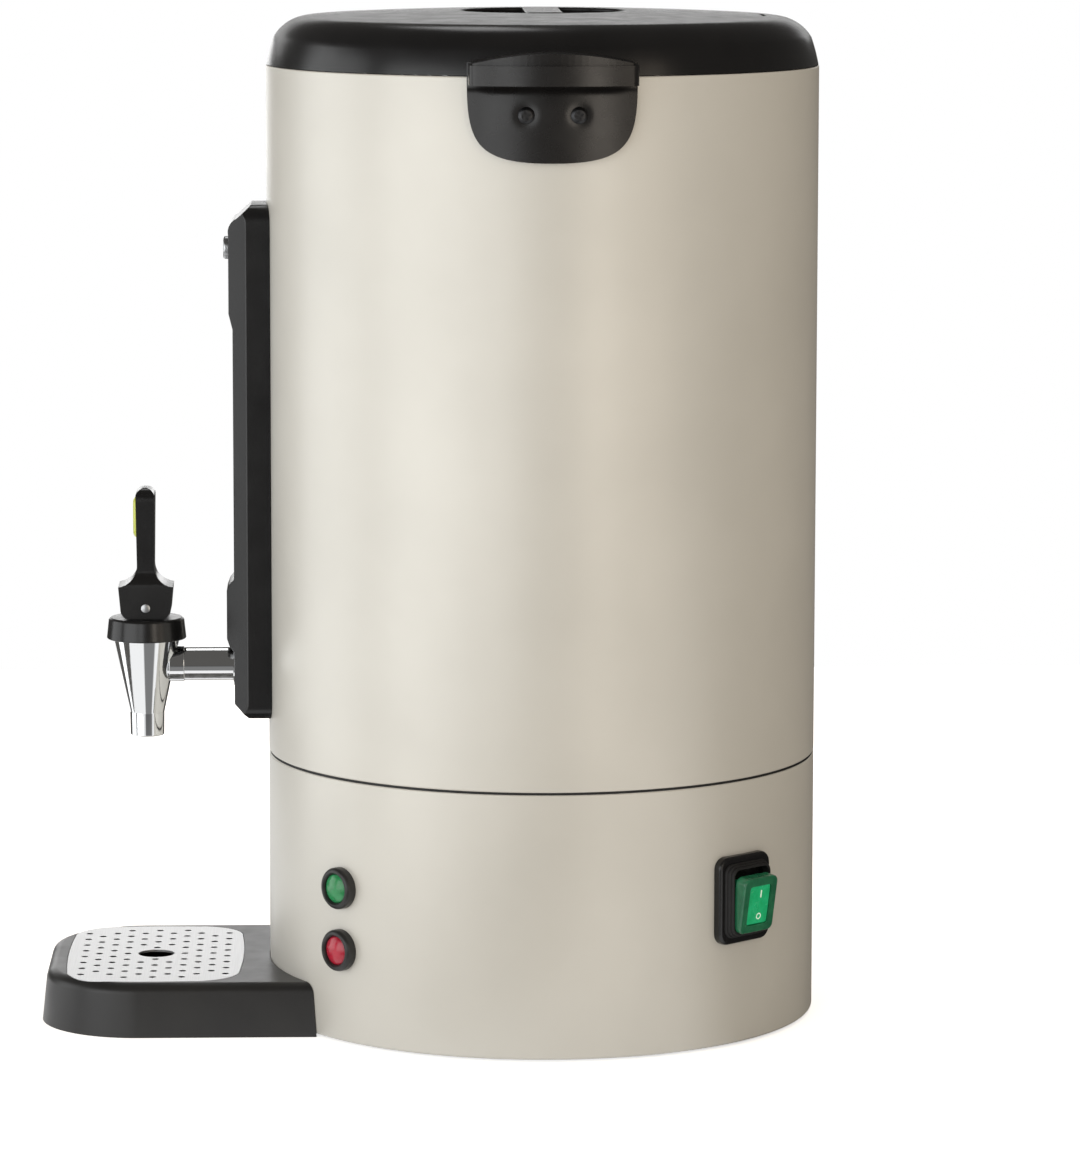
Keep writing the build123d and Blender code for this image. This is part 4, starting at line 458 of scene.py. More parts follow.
# %% One material for each slot of the record
finishes = {
    # Satin paint with broad soft bands
    "grey_paint": powder_coat(),
    # Polished by hands and cloths, so the lid's edge catches a clear line of light
    "black_moulding": moulding("heat-proof black moulding", ("#131314", "#171718"), (0.22, 0.27), 0.5, 0.01),
    # Slightly warmer and duller, as a second moulding looks beside the first
    "grip_moulding": moulding("dark grip moulding", ("#151414", "#191818"), (0.25, 0.3), 0.6, 0.01),
    # Washed and scratched, so the tray is greyer with a wide soft shine
    "tray_moulding": moulding("black tray moulding", ("#1F1F20", "#242424"), (0.34, 0.4), 0.6, 0.02),
    # Nearly dull, so feet, seals and bellows look soft
    "dark_rubber": moulding("black rubber", ("#161617", "#1C1C1D"), (0.6, 0.75), 0.8, 0.03),
    # Milky and soft, with light passing under the skin
    "pale_silicone": coloured_plastic("pale silicone", ("#D6D3CA", "#DCD9D1"), (0.4, 0.5), 0.3),
    # Waxy and cream white
    "white_nylon": coloured_plastic("natural nylon", ("#E2DECF", "#E8E4D8"), (0.4, 0.5), 0.2),
    # Flat white, so the level in the glass can be read against it
    "white_strip": moulding("white printed strip", ("#ECEBE5", "#F0EFEA"), (0.35, 0.45), 1.0, 0.005),
    # Deep brown with a dry shine
    "bakelite": moulding("brown phenolic", ("#38271D", "#3E2C22"), (0.3, 0.4), 1.0, 0.01),
    # A mirror with a faint waviness from polishing
    "chrome_plate": chrome_plate(),
    # Turned heads with tiny rings that blur the highlight
    "screw_steel": brushed_metal(
        "turned stainless steel", ("#B8B9BA", "#CACBCC"), (0.4, 0.4, 0.4), (0.25, 0.35)),
    # Drawn upwards, so the tank's highlights run up its wall
    "stainless_steel": brushed_metal(
        "drawn stainless sheet", ("#BDBDBB", "#CFCFCD"), (0.6, 0.6, 30.0), (0.26, 0.36)),
    # Blotchy zinc flowers of some millimetres
    "galvanised_steel": brushed_metal(
        "galvanised sheet", ("#9A9EA1", "#B5B8BA"), (9.0, 7.0, 5.0), (0.4, 0.55)),
    # Brushed across the tray, so the grid shines in fine lines
    "grid_steel": brushed_metal("brushed grid sheet", ("#D4D4D4", "#E2E2E2"), (30.0, 0.4, 0.4), (0.3, 0.4)),
    # Dull and grainy, as from the casting mould
    "cast_aluminium": brushed_metal("cast aluminium", ("#A8A9AA", "#BDBEBF"), (1.2, 1.2, 1.2), (0.45, 0.6)),
    # Warm yellow with turning marks
    "brass": brushed_metal("machined brass", ("#B08F45", "#C2A457"), (0.4, 6.0, 0.4), (0.25, 0.35)),
    # Clear, with bright edges
    "clear_glass": clear_glass(),
    # A bright mark that shows where to press
    "lime_insert": coloured_plastic("lime moulding", ("#B9C24E", "#C3CC5E"), (0.25, 0.35)),
    # Lenses that are not lit: a deep colour with a shiny dome
    "red_lens": coloured_plastic("red lens", ("#A61230", "#B4213A"), (0.2, 0.3), 0.3),
    "green_lens": coloured_plastic("green lens", ("#1F8149", "#2C9159"), (0.2, 0.3), 0.3),
    # The rocker is a brighter green than the soft cover round it
    "green_rocker": coloured_plastic("green rocker", ("#10B474", "#22C487"), (0.2, 0.3), 0.3),
    "green_boot": coloured_plastic("soft green cover", ("#1C6044", "#26704F"), (0.2, 0.28), 0.3),
    # Oiled black heads that hardly stand out from the handle
    "blackened_steel": brushed_metal(
        "blackened screw steel", ("#3C3C3D", "#4A4A4B"), (0.8, 0.8, 0.8), (0.35, 0.45)),
    # Pale marks that read from a step away, with a faint painted glow
    "mark_ink_with_painted_glow": mark_ink_with_painted_glow(),
}
node_slots = {part["node"]: part["material_slot"] for part in frame["record"]["subparts"]}
for name, node in nodes.items():
    node.data.materials.clear()
    node.data.materials.append(finishes[node_slots[name]])
print("materials", len(finishes), "nodes", len(nodes))

# %% [markdown]
# ## Turned pieces
# Most pieces of this object are round. A ready cylinder has one sharp edge at each end, so a
# turned piece is a closed outline instead, with its corners rounded while it is still flat,
# which is then spun about an axis. Smooth shading breaks only where an edge is really sharp.

# %% Helpers for a turned piece and for finishing a piece
merge_gap = 0.002
shade_angle, fine_angle = 35, 30


def outline(bm, points, rounds=None, segments=6):
    """Closed outline from points in millimetres; rounds gives some corners, by number, their radius"""
    verts = [bm.verts.new(Vector(p) * MM) for p in points]
    for a, b in zip(verts, verts[1:] + verts[:1]):
        bm.edges.new((a, b))
    for index, radius in (rounds or {}).items():
        corner = verts[index]
        first, second = [edge.other_vert(corner).co - corner.co for edge in corner.link_edges]
        reach = radius * MM / tan(first.angle(second) / 2)
        bmesh.ops.bevel(bm, geom=[corner], offset=reach, offset_type="OFFSET", segments=segments,
                        profile=0.5, affect="VERTICES", material=-1)


def turned(points, rounds=None, steps=96, segments=6):
    """Spins a closed outline, given as radius and height in millimetres, about Z"""
    bm = bmesh.new()
    outline(bm, [(r, 0, z) for r, z in points], rounds, segments)
    bmesh.ops.spin(bm, geom=bm.verts[:] + bm.edges[:], cent=(0, 0, 0), axis=(0, 0, 1), dvec=(0, 0, 0),
                   angle=2 * pi, steps=steps, use_merge=True, use_duplicate=False)
    bmesh.ops.remove_doubles(bm, verts=bm.verts[:], dist=merge_gap * MM)
    bmesh.ops.delete(bm, geom=[e for e in bm.edges if e.is_wire], context="EDGES")
    bmesh.ops.recalc_face_normals(bm, faces=bm.faces[:])
    return bm


def finished(name, bm, body, slot, stands_for=(), angle=shade_angle, weighted=True, look=None):
    """Makes the piece's object, shades it smooth, gives it its finish and lets it ride on its body"""
    mesh = bpy.data.meshes.new(name)
    bm.to_mesh(mesh)
    bm.free()
    mesh.materials.append(finishes[look or slot])
    mesh.shade_smooth()
    mesh.set_sharp_from_angle(angle=radians(angle))
    piece = bpy.data.objects.new(name, mesh)
    scene.collection.objects.link(piece)
    if weighted:
        piece.modifiers.new("even shading", "WEIGHTED_NORMAL").keep_sharp = True
    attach(piece, body)
    if stands_for:
        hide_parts(*stands_for)
    print(name, "faces", len(mesh.polygons))
    return piece


# %% [markdown]
# ## The drum
# Two pressed and rolled sheets make the drum: the base with the controls, and the tall body.
# They could be plain tubes, but the rolled lower edge, the thin joint and the wall's
# thickness are what make it look like sheet steel. One closed outline, spun, gives all that.

# %% Base of the drum
drum_steps = 256
sheet = 1.0
edge_round, foot_round = 0.8, 1.5
inside = drum_radius - sheet
foot_level, foot_width, foot_lip = 1.0, 4.0, 3.5
foot_inside = drum_radius - foot_width
base_top = 119.5
base_outline = [
    (drum_radius, foot_level), (drum_radius, base_top), (inside, base_top), (inside, foot_level + sheet),
    (foot_inside + sheet, foot_level + sheet), (foot_inside + sheet, foot_level + foot_lip),
    (foot_inside, foot_level + foot_lip), (foot_inside, foot_level)]
base_bm = turned(base_outline, {0: foot_round, 1: edge_round}, drum_steps)
base_panels = [name for name in nodes if name.startswith("base_shell")]
finished("drum_base", base_bm, "drum", "grey_paint", base_panels)

# %% Body of the drum, with the flange that carries the collar
body_joint = 1.0
body_low, body_top = base_top + body_joint, 432.9
flange_inside = drum_radius - 6.0
body_outline = [
    (drum_radius, body_low), (drum_radius, body_top), (flange_inside, body_top),
    (flange_inside, body_top - sheet), (inside, body_top - sheet), (inside, body_low)]
body_bm = turned(body_outline, {0: edge_round, 1: edge_round}, drum_steps)
finished("drum_body", body_bm, "drum", "grey_paint", ["body_shell"])

# %% [markdown]
# ## The lid
# A domed moulding with a rolled shoulder, and a round recess for the fingers. The recess
# could be cut out of a dome afterwards, but the dome and the recess are turned in one go, so
# that the edge between them is round all the way. Only the slot for the latch and the small
# steam vent are cut.

# %% Helpers for arcs, pushed-out pieces and cuts
def arc(start, middle, end, count):
    """Points on the circle through three points of a flat outline, from start to end"""
    (ax, ay), (bx, by), (cx, cy) = start, middle, end
    d = 2 * (ax * (by - cy) + bx * (cy - ay) + cx * (ay - by))
    a_square, b_square, c_square = ax ** 2 + ay ** 2, bx ** 2 + by ** 2, cx ** 2 + cy ** 2
    ux = (a_square * (by - cy) + b_square * (cy - ay) + c_square * (ay - by)) / d
    uy = (a_square * (cx - bx) + b_square * (ax - cx) + c_square * (bx - ax)) / d
    radius = sqrt((ax - ux) ** 2 + (ay - uy) ** 2)
    a0, a1, a2 = (atan2(y - uy, x - ux) for x, y in (start, middle, end))
    sweep = (a2 - a0) % (2 * pi)
    if (a1 - a0) % (2 * pi) > sweep:
        sweep -= 2 * pi
    angles = [a0 + sweep * i / count for i in range(count + 1)]
    return [(ux + radius * cos(a), uy + radius * sin(a)) for a in angles]


def pushed_out(points, along, rounds=None, segments=6):
    """Closes an outline of 3-D points in millimetres with one face and extrudes it along a vector"""
    bm = bmesh.new()
    outline(bm, points, rounds, segments)
    bmesh.ops.contextual_create(bm, geom=bm.edges[:])
    grown = bmesh.ops.extrude_face_region(bm, geom=bm.faces[:])
    far_side = [g for g in grown["geom"] if isinstance(g, bmesh.types.BMVert)]
    bmesh.ops.translate(bm, verts=far_side, vec=Vector(along) * MM)
    bmesh.ops.recalc_face_normals(bm, faces=bm.faces[:])
    return bm


def moved(bm, step):
    """Shifts a bmesh by a step in millimetres"""
    bmesh.ops.translate(bm, verts=bm.verts[:], vec=Vector(step) * MM)
    return bm


def rod(radius, length, sides=48):
    """Plain cylinder along Z from the origin, in millimetres"""
    bm = bmesh.new()
    bmesh.ops.create_cone(bm, cap_ends=True, segments=sides, radius1=radius * MM, radius2=radius * MM,
                          depth=length * MM, matrix=Matrix.Translation((0, 0, length / 2 * MM)))
    return bm


def combined(how, bm, *others):
    """Cuts other bmeshes out of one, or keeps what they share, and returns the result as a bmesh"""
    objects = []
    for part in (bm, *others):
        mesh = bpy.data.meshes.new("boolean work")
        part.to_mesh(mesh)
        part.free()
        objects.append(bpy.data.objects.new("boolean work", mesh))
        scene.collection.objects.link(objects[-1])
    for other in objects[1:]:
        step = objects[0].modifiers.new("combine", "BOOLEAN")
        step.object, step.operation, step.solver = other, how, "EXACT"
    evaluated = objects[0].evaluated_get(bpy.context.evaluated_depsgraph_get())
    result = bmesh.new()
    result.from_mesh(bpy.data.meshes.new_from_object(evaluated))
    for work in objects:
        mesh = work.data
        bpy.data.objects.remove(work)
        bpy.data.meshes.remove(mesh)
    bmesh.ops.remove_doubles(result, verts=result.verts[:], dist=merge_gap * MM)
    return result


# %% Lid with its recess
lid_steps = 192
lid_low, lid_top = 433.2, 457.15
recess_round, floor_round = 1.2, 2.0
lid_wall, skirt_wall, recess_wall = 2.5, 2.0, 2.75
recess_radius, recess_floor = 37.0, 444.0
skirt_edge, shoulder, dome_edge = (124.7, lid_low), (121.4, 445.4), (106.7, 454.6)
lid_outside = arc(skirt_edge, (123.3, 439.3), shoulder, 6)
lid_outside += arc(shoulder, (116.5, 450.9), dome_edge, 12)[1:]
lid_outside += arc(dome_edge, (72, 456.18), (recess_radius, lid_top), 8)[1:]
lid_inside = [
    (recess_radius, recess_floor), (0, recess_floor), (0, recess_floor - lid_wall),
    (recess_radius + lid_wall, recess_floor - lid_wall), (recess_radius + lid_wall, lid_top - recess_wall),
    (dome_edge[0] - lid_wall, dome_edge[1] - lid_wall), (shoulder[0] - skirt_wall, shoulder[1]),
    (skirt_edge[0] - skirt_wall, lid_low)]
recess_edge = len(lid_outside) - 1
lid_rounds = {recess_edge: recess_round, recess_edge + 1: floor_round}
lid_bm = turned(lid_outside + lid_inside, lid_rounds, lid_steps, 5)
print("lid outline points", len(lid_outside) + len(lid_inside))

# %% Slot for the latch and steam vent of the lid
latch_reach, latch_half, latch_width, latch_bow = 100.0, 12.0, 2.0, 0.7
latch_low, latch_cut = 450.0, 12.0
latch_plan = arc((-latch_half, latch_reach), (0, latch_reach + latch_bow), (latch_half, latch_reach), 12)
latch_plan += [(x, y - latch_width) for x, y in reversed(latch_plan)]
latch_bm = pushed_out([(x, y, latch_low) for x, y in latch_plan], (0, 0, latch_cut))
vent_radius, vent_reach, vent_low, vent_cut = 1.6, 93.0, 442.0, 20.0
vent_bm = moved(rod(vent_radius, vent_cut, 24), (0, -vent_reach, vent_low))
lid_bm = combined("DIFFERENCE", lid_bm, latch_bm, vent_bm)
finished("lid_cover", lid_bm, "lid", "black_moulding", ["lid_shell"], fine_angle)

# %% [markdown]
# ### Grip bar
# The bar across the recess is part of the same moulding. A long box would stand off from the
# round wall at its ends, so the bar is a slice of a round block instead, cut by two planes,
# which makes its ends meet the wall exactly.

# %% Grip bar across the recess
on_plane = 1e-7
same_place = 1e-5
level_margin = 0.1


def soften(bm, width, only=None, angle=50, segments=4):
    """Rounds the edges of a bmesh that are sharper than an angle, or those of them that pass a test"""
    sharp = [e for e in bm.edges if e.is_manifold and e.calc_face_angle(0) > radians(angle)]
    chosen = [e for e in sharp if only is None or only(e)]
    bmesh.ops.bevel(bm, geom=chosen, offset=width * MM, offset_type="OFFSET", segments=segments,
                    profile=0.5, affect="EDGES", material=-1, clamp_overlap=True)
    return bm


def at_top(level):
    """A test for edges that lie at the top level of a piece, in millimetres"""
    return lambda e: all(v.co.z > (level - level_margin) * MM for v in e.verts)


grip_half, grip_top, grip_round = 8.25, 457.4, 1.2
grip_sink = 0.2
grip_low = recess_floor - grip_sink
grip_bm = moved(rod(recess_radius + grip_sink, grip_top - grip_low, 96), (0, 0, grip_low))
for way in (1, -1):
    whole = grip_bm.verts[:] + grip_bm.edges[:] + grip_bm.faces[:]
    cut = bmesh.ops.bisect_plane(grip_bm, geom=whole, dist=on_plane, plane_co=(0, way * grip_half * MM, 0),
                                 plane_no=(0, way, 0), clear_outer=True)
    cut_edges = [g for g in cut["geom_cut"] if isinstance(g, bmesh.types.BMEdge)]
    bmesh.ops.contextual_create(grip_bm, geom=cut_edges)
bmesh.ops.recalc_face_normals(grip_bm, faces=grip_bm.faces[:])
on_top = at_top(grip_top)


def long_edge(edge):
    """Tells whether an edge lies on the bar's top and runs along it"""
    first, second = edge.verts
    return on_top(edge) and abs(first.co.y - second.co.y) < same_place


soften(grip_bm, grip_round, long_edge)
finished("lid_grip_bar", grip_bm, "lid", "black_moulding")

# %% [markdown]
# ## Lift handles
# Each handle is a plate that hugs the drum, under a hood with room for the fingertips. The
# plate could be bent by a modifier, but here it starts as a flat outline, is sliced across
# its width, and its points are laid on the drum's radius, which keeps every size exact.

# %% Outline of the plate, and a helper that slices
plate_half, plate_low, plate_top = 36.8, 395.9, 439.0
plate_depth, plate_gap = 4.7, 0.15
bend_top, bend_pull, bend_half = 430.0, 403.0, 31.5
bend = interpolate_bezier(
    (plate_half, bend_top, 0), (plate_half, bend_pull, 0), (bend_half, plate_low, 0), (0, plate_low, 0), 25)
plate_outline = [(plate_half, plate_top)] + [(point.x, point.y) for point in bend]
plate_outline += [(-y, z) for y, z in reversed(plate_outline[:-1])]


def sliced(bm, way, places):
    """Cuts a bmesh by parallel planes, without taking anything away"""
    for place in places:
        whole = bm.verts[:] + bm.edges[:] + bm.faces[:]
        point = Vector(way) * place * MM
        bmesh.ops.bisect_plane(bm, geom=whole, dist=on_plane, plane_co=point, plane_no=way)


print("plate outline points", len(plate_outline))

# %% Plate of a handle, laid on the drum
plate_rim, plate_ramp, plate_sink = 1.6, 0.7, 0.9
slice_pitch, slices_low = 1.5, 405.0
screw_across, screw_height = 11.4, 416.6
dimple_depth, dimple_radius = 0.9, 6.2
tuck_depth, tuck_low, tuck_height = 1.8, 424.5, 5.5


def handle_plate():
    """Plate with a sunk face, a dimple round each screw and a tuck under the hood"""
    bm = bmesh.new()
    outline(bm, [(0, y, z) for y, z in plate_outline])
    bmesh.ops.contextual_create(bm, geom=bm.edges[:])
    border = bmesh.ops.inset_region(bm, faces=bm.faces[:], thickness=plate_rim * MM, use_even_offset=True)
    rim = set(border["faces"])
    inner = [f for f in bm.faces if f not in rim]
    step = bmesh.ops.inset_region(bm, faces=inner, thickness=plate_ramp * MM, depth=0, use_even_offset=True)
    ramp = set(step["faces"])
    sunk = [f for f in bm.faces if f not in rim and f not in ramp]
    for vert in {v for f in sunk for v in f.verts}:
        vert.co.x = -plate_sink * MM
    across = int(plate_half / slice_pitch)
    upward = int((bend_top - slices_low) / slice_pitch)
    sliced(bm, (0, 1, 0), [slice_pitch * step for step in range(-across, across + 1)])
    sliced(bm, (0, 0, 1), [slices_low + slice_pitch * step for step in range(upward + 1)])
    grown = bmesh.ops.extrude_face_region(bm, geom=bm.faces[:])
    back = {g for g in grown["geom"] if isinstance(g, bmesh.types.BMVert)}
    for vert in bm.verts:
        y, z = vert.co.y / MM, vert.co.z / MM
        from_screw = Vector((abs(y) - screw_across, z - screw_height)).length
        dimple = dimple_depth / 2 * (1 + cos(pi * min(from_screw / dimple_radius, 1)))
        tuck = tuck_depth * min(max((z - tuck_low) / tuck_height, 0), 1) ** 2
        front = drum_radius + plate_depth + vert.co.x / MM - dimple - tuck
        reach = drum_radius + plate_gap if vert in back else front
        vert.co.x = sqrt((reach * MM) ** 2 - vert.co.y ** 2)
    bmesh.ops.recalc_face_normals(bm, faces=bm.faces[:])
    return bm


# %% [markdown]
# ### Hood and crown of a handle
# The fingers pull on a hood that is hollow from below. Its plan has a round front and a back
# that follows the drum. A solid block would do from above, but the picture looks under it,
# so the hollow is pressed in. The crown on top is highest in the middle, as the real one is.

# %% Hood with its hollow
hood_half, hood_corner_reach, hood_reach = 36.4, 145.6, 152.0
hood_low, hood_height, hood_corner = 430.1, 8.6, 3.6
hood_wall, hood_hollow, hood_round = 2.4, 6.0, 0.8
plan_steps = 24
plan_back = drum_radius + 0.3


def plan_on_drum(half, corner_reach, reach):
    """Plan with a round front, and a back that follows the drum"""
    front = arc((corner_reach, -half), (reach, 0), (corner_reach, half), plan_steps)
    across = [half - 2 * half * step / plan_steps for step in range(plan_steps + 1)]
    return front + [(sqrt(plan_back ** 2 - y ** 2), y) for y in across]


def handle_hood():
    """Hood over the fingertips, open from below"""
    plan = plan_on_drum(hood_half, hood_corner_reach, hood_reach)
    corners = {0: hood_corner, plan_steps: hood_corner}
    bm = pushed_out([(x, y, hood_low) for x, y in plan], (0, 0, hood_height), corners)
    under = min(bm.faces, key=lambda f: f.calc_center_median().z)
    bmesh.ops.inset_region(bm, faces=[under], thickness=hood_wall * MM, use_even_offset=True)
    deep = bmesh.ops.extrude_face_region(bm, geom=[under])
    bmesh.ops.delete(bm, geom=[under], context="FACES_ONLY")
    roof = [g for g in deep["geom"] if isinstance(g, bmesh.types.BMVert)]
    bmesh.ops.translate(bm, verts=roof, vec=(0, 0, hood_hollow * MM))
    bmesh.ops.recalc_face_normals(bm, faces=bm.faces[:])
    return soften(bm, hood_round)


# %% Crown of the hood
crown_half, crown_corner_reach, crown_reach = 35.0, 143.4, 149.2
crown_low, crown_height, crown_corner = 437.5, 2.0, 2.0
crown_rise, crown_lean, crown_round = 4.3, 0.7, 1.2
crown_slice = 2.9


def handle_crown():
    """Raised back of the hood, which is highest in the middle"""
    plan = plan_on_drum(crown_half, crown_corner_reach, crown_reach)
    corners = {0: crown_corner, plan_steps: crown_corner}
    bm = pushed_out([(x, y, crown_low) for x, y in plan], (0, 0, crown_height), corners, 5)
    across = int(crown_half / crown_slice)
    sliced(bm, (0, 1, 0), [crown_slice * step for step in range(-across, across + 1)])
    for vert in bm.verts:
        if vert.co.z > (crown_low + crown_height / 2) * MM:
            share = 1 - (vert.co.y / MM / crown_half) ** 2
            vert.co.z += crown_rise * share * MM
            vert.co.x -= crown_lean * share * MM
    bmesh.ops.recalc_face_normals(bm, faces=bm.faces[:])
    return soften(bm, crown_round, segments=5)


# %% Both handles, of which the left one is the mirror image
for side, handle in ((1, "handle_right"), (-1, "handle_left")):
    for part, maker in (("plate", handle_plate), ("hood", handle_hood), ("crown", handle_crown)):
        bm = maker()
        if side < 0:
            bmesh.ops.scale(bm, verts=bm.verts[:], vec=(-1, 1, 1))
            bmesh.ops.recalc_face_normals(bm, faces=bm.faces[:])
        finished(f"{handle}_{part}", bm, "drum", "black_moulding", [handle] if part == "plate" else (),
                 look="grip_moulding")

# %% [markdown]
# ## Column of the sight gauge
# The column is one moulding whose shape is given by three views: the stepped side, the
# rounded front and the chamfered plan. It could be built up from blocks, but then the
# chamfers would not meet. Three pushed-out outlines are laid through each other instead, and
# what they share is the column. Reaches count from the drum's axis towards the tap.

# %% Side, front and plan of the column
column_half, column_corner = 21.0, 8.0
column_low, column_top, column_back = 136.4, 370.3, 120.0
foot_chamfer = 6.4
pad_front, pad_knee, pad_low, pad_high = 143.8, 142.7, 166.5, 200.2
head_front, head_low, head_slope = 142.2, 314.0, 7.0
column_side = [
    (column_back, column_top), (column_back, column_low), (column_front - foot_chamfer, column_low),
    (column_front, column_low + foot_chamfer), (column_front, pad_low), (pad_knee, pad_low + 2.7),
    (pad_front, pad_low + 6.0), (pad_front, pad_high - 5.7), (pad_knee, pad_high - 2.7),
    (column_front, pad_high), (column_front, head_low), (head_front, head_low + head_slope)]
column_side += arc((head_front, 356.5), (141.0, 362.0), (138.2, 364.3), 8) + [(131.8, column_top)]
overrun = 0.5
side_half = column_half + overrun
side_view = pushed_out([(-side_half, -reach, z) for reach, z in column_side], (2 * side_half, 0, 0))

view_front, view_back, front_low = 150.0, 110.0, 135.2
front_corners = [(column_half, front_low), (column_half, column_top),
                 (-column_half, column_top), (-column_half, front_low)]
front_view = pushed_out([(x, -view_front, z) for x, z in front_corners], (0, view_front - view_back, 0),
                        {i: column_corner for i in range(4)})

plan_low, plan_height, plan_chamfer = 130.0, 245.0, 9.5
plan_right = [(column_half, view_back), (column_half, pad_front - plan_chamfer),
              (column_half - column_corner, pad_front)]
plan_all = plan_right + [(-x, reach) for x, reach in reversed(plan_right)]
plan_view = pushed_out([(x, -reach, plan_low) for x, reach in plan_all], (0, 0, plan_height))
column_bm = combined("INTERSECT", side_view, front_view, plan_view)
column_round = 1.3
rear_limit = column_back + 1
soften(column_bm, column_round, lambda e: max(v.co.y for v in e.verts) < -rear_limit * MM, angle=25)
print("column vertices before the cuts", len(column_bm.verts))

# %% [markdown]
# ### Openings of the column
# The column's back follows the drum, its window shows the glass, and the glass stands in a
# bore. The tap's flange sits in a shallow seat at the foot. All four are cut with blocks that
# are larger than the cut, so that no thin skin is left.

# %% Helpers for placed and rounded blocks, and the cuts
def placed(bm, direction, place):
    """Turns a bmesh so that its Z looks along a direction, and puts it at a place in millimetres"""
    up = Vector((0, 0, 1))
    z = Vector(direction).normalized()
    y = (up - z * z.dot(up)).normalized()
    turn = Matrix((y.cross(z), y, z)).transposed().to_4x4()
    bmesh.ops.transform(bm, matrix=Matrix.Translation(Vector(place) * MM) @ turn, verts=bm.verts[:])
    return bm


def rounded_slab(width, tall, corner, low, high, segments=6):
    """Slab with rounded corners on the XY plane, from a low to a high level"""
    x, y = width / 2, tall / 2
    return pushed_out([(x, y, low), (-x, y, low), (-x, -y, low), (x, -y, low)], (0, 0, high - low),
                      {i: corner for i in range(4)}, segments)


FORWARD = (0, -1, 0)
glass_reach = 132.75
window_width, window_height, window_corner = 10.4, 104.0, 2.0
window_middle, window_back = 258.5, 126.75
bore_radius, bore_low, bore_length = 4.8, 166.0, 174.0
seat_radius = 10.1
drum_block = moved(rod(drum_radius + plate_gap, 400, drum_steps), (0, 0, 60))
window = rounded_slab(window_width, window_height, window_corner, 0, 30)
placed(window, FORWARD, (0, -window_back, window_middle))
glass_bore = moved(rod(bore_radius, bore_length), (0, -glass_reach, bore_low))
flange_seat = placed(rod(seat_radius, 10, 64), FORWARD, (0, -column_front, pipe_height))
column_bm = combined("DIFFERENCE", column_bm, drum_block, window, glass_bore, flange_seat)
finished("gauge_column", column_bm, "drum", "black_moulding", ["gauge_housing"], fine_angle)

# %% [markdown]
# ### Glass, marks and screw of the column
# The sight glass is a plain tube, turned with its bore so that light passes two real walls.
# Its scale could be a picture, but ten short bars behind it stay crisp from any distance, and
# every second one is longer. The head of the cap screw has a round edge.

# %% Glass tube
glass_radius, glass_wall, glass_low, glass_high = 4.5, 1.0, 168.0, 338.0
glass_bore_radius = glass_radius - glass_wall
glass_outline = [(glass_radius, glass_low), (glass_radius, glass_high), (glass_bore_radius, glass_high),
                 (glass_bore_radius, glass_low)]
glass_bm = moved(turned(glass_outline, {i: 0.3 for i in range(4)}, 48), (0, -glass_reach, 0))
finished("gauge_glass", glass_bm, "drum", "clear_glass", ["sight_glass"])

# %% Scale marks and cap screw
mark_count, mark_pitch, mark_low, mark_reach = 10, 10.4, 211.5, 127.6
long_mark, short_mark, mark_depth, mark_height = 7.0, 4.0, 0.1, 0.6
ticks_bm = bmesh.new()
for step in range(mark_count):
    mark_width = long_mark if step % 2 == 0 else short_mark
    middle = Matrix.Translation(Vector((0, -mark_reach, mark_low + mark_pitch * step)) * MM)
    bar = Matrix.Diagonal((mark_width, mark_depth, mark_height, 1))
    bmesh.ops.create_cube(ticks_bm, size=MM, matrix=middle @ bar)
finished("gauge_marks", ticks_bm, "drum", "dark_rubber")
cap_screw_radius, cap_screw_head, cap_screw_sink, cap_screw_height = 5.2, 2.4, 1.0, 350.0
screw_outline = [(0, -cap_screw_sink), (cap_screw_radius, -cap_screw_sink),
                 (cap_screw_radius, cap_screw_head), (0, cap_screw_head)]
screw_bm = placed(turned(screw_outline, {2: 1.0}, 64), FORWARD, (0, -head_front, cap_screw_height))
finished("column_cap_screw", screw_bm, "drum", "screw_steel", ["column_screw"])

# %% [markdown]
# ## Tap
# Chrome brass: a cone with its nozzle, and a pipe back to the tank. All of it is turned on a
# lathe in the real part, so it is spun here too, with its bore, since the nozzle is open from
# below. Its corners are rounded more than on steel, because plating fills them.

# %% Cone with its nozzle
nozzle_low, nozzle_top, nozzle_bore, nozzle_radius = 126.4, 137.2, 5.6, 7.75
cone_radius, cone_corner, cone_top, cone_bore = 15.1, 171.6, 177.5, 13.2
cone_outline = [
    (nozzle_bore, nozzle_low), (nozzle_radius, nozzle_low), (nozzle_radius + 0.15, nozzle_top),
    (cone_radius, cone_corner), (cone_radius, cone_top), (cone_bore, cone_top), (cone_bore, 168.5),
    (6.2, 139.0), (nozzle_bore, 137.0)]
cone_bm = moved(turned(cone_outline, {1: 0.7, 2: 2.0, 3: 2.5, 4: 0.4}, 128), (0, -tap_reach, 0))
finished("tap_cone", cone_bm, "drum", "chrome_plate", ["tap_body"])

# %% Pipe from the column to the cone, with its flange and its collar
pipe_bore, pipe_radius, pipe_length = 5.0, 7.65, 31.0
flange_radius, flange_depth = 9.8, 0.7
collar_radius, collar_start, collar_end = 8.1, 23.1, 30.1
pipe_outline = [
    (pipe_bore, 0), (flange_radius, 0), (flange_radius, flange_depth), (pipe_radius, flange_depth),
    (pipe_radius, collar_start), (collar_radius, collar_start), (collar_radius, collar_end),
    (pipe_radius, collar_end), (pipe_radius, pipe_length), (pipe_bore, pipe_length)]
pipe_bm = placed(turned(pipe_outline, {5: 0.4, 6: 0.3}, 96), FORWARD, (0, -column_front, pipe_height))
finished("tap_pipe", pipe_bm, "drum", "chrome_plate")

# %% [markdown]
# ### Cap of the tap
# A black moulding screwed on the cone, wider at its foot. A plain disc would look like a
# washer, so its outline has the drafted skirt, the round upper edge and the hole for the stem.

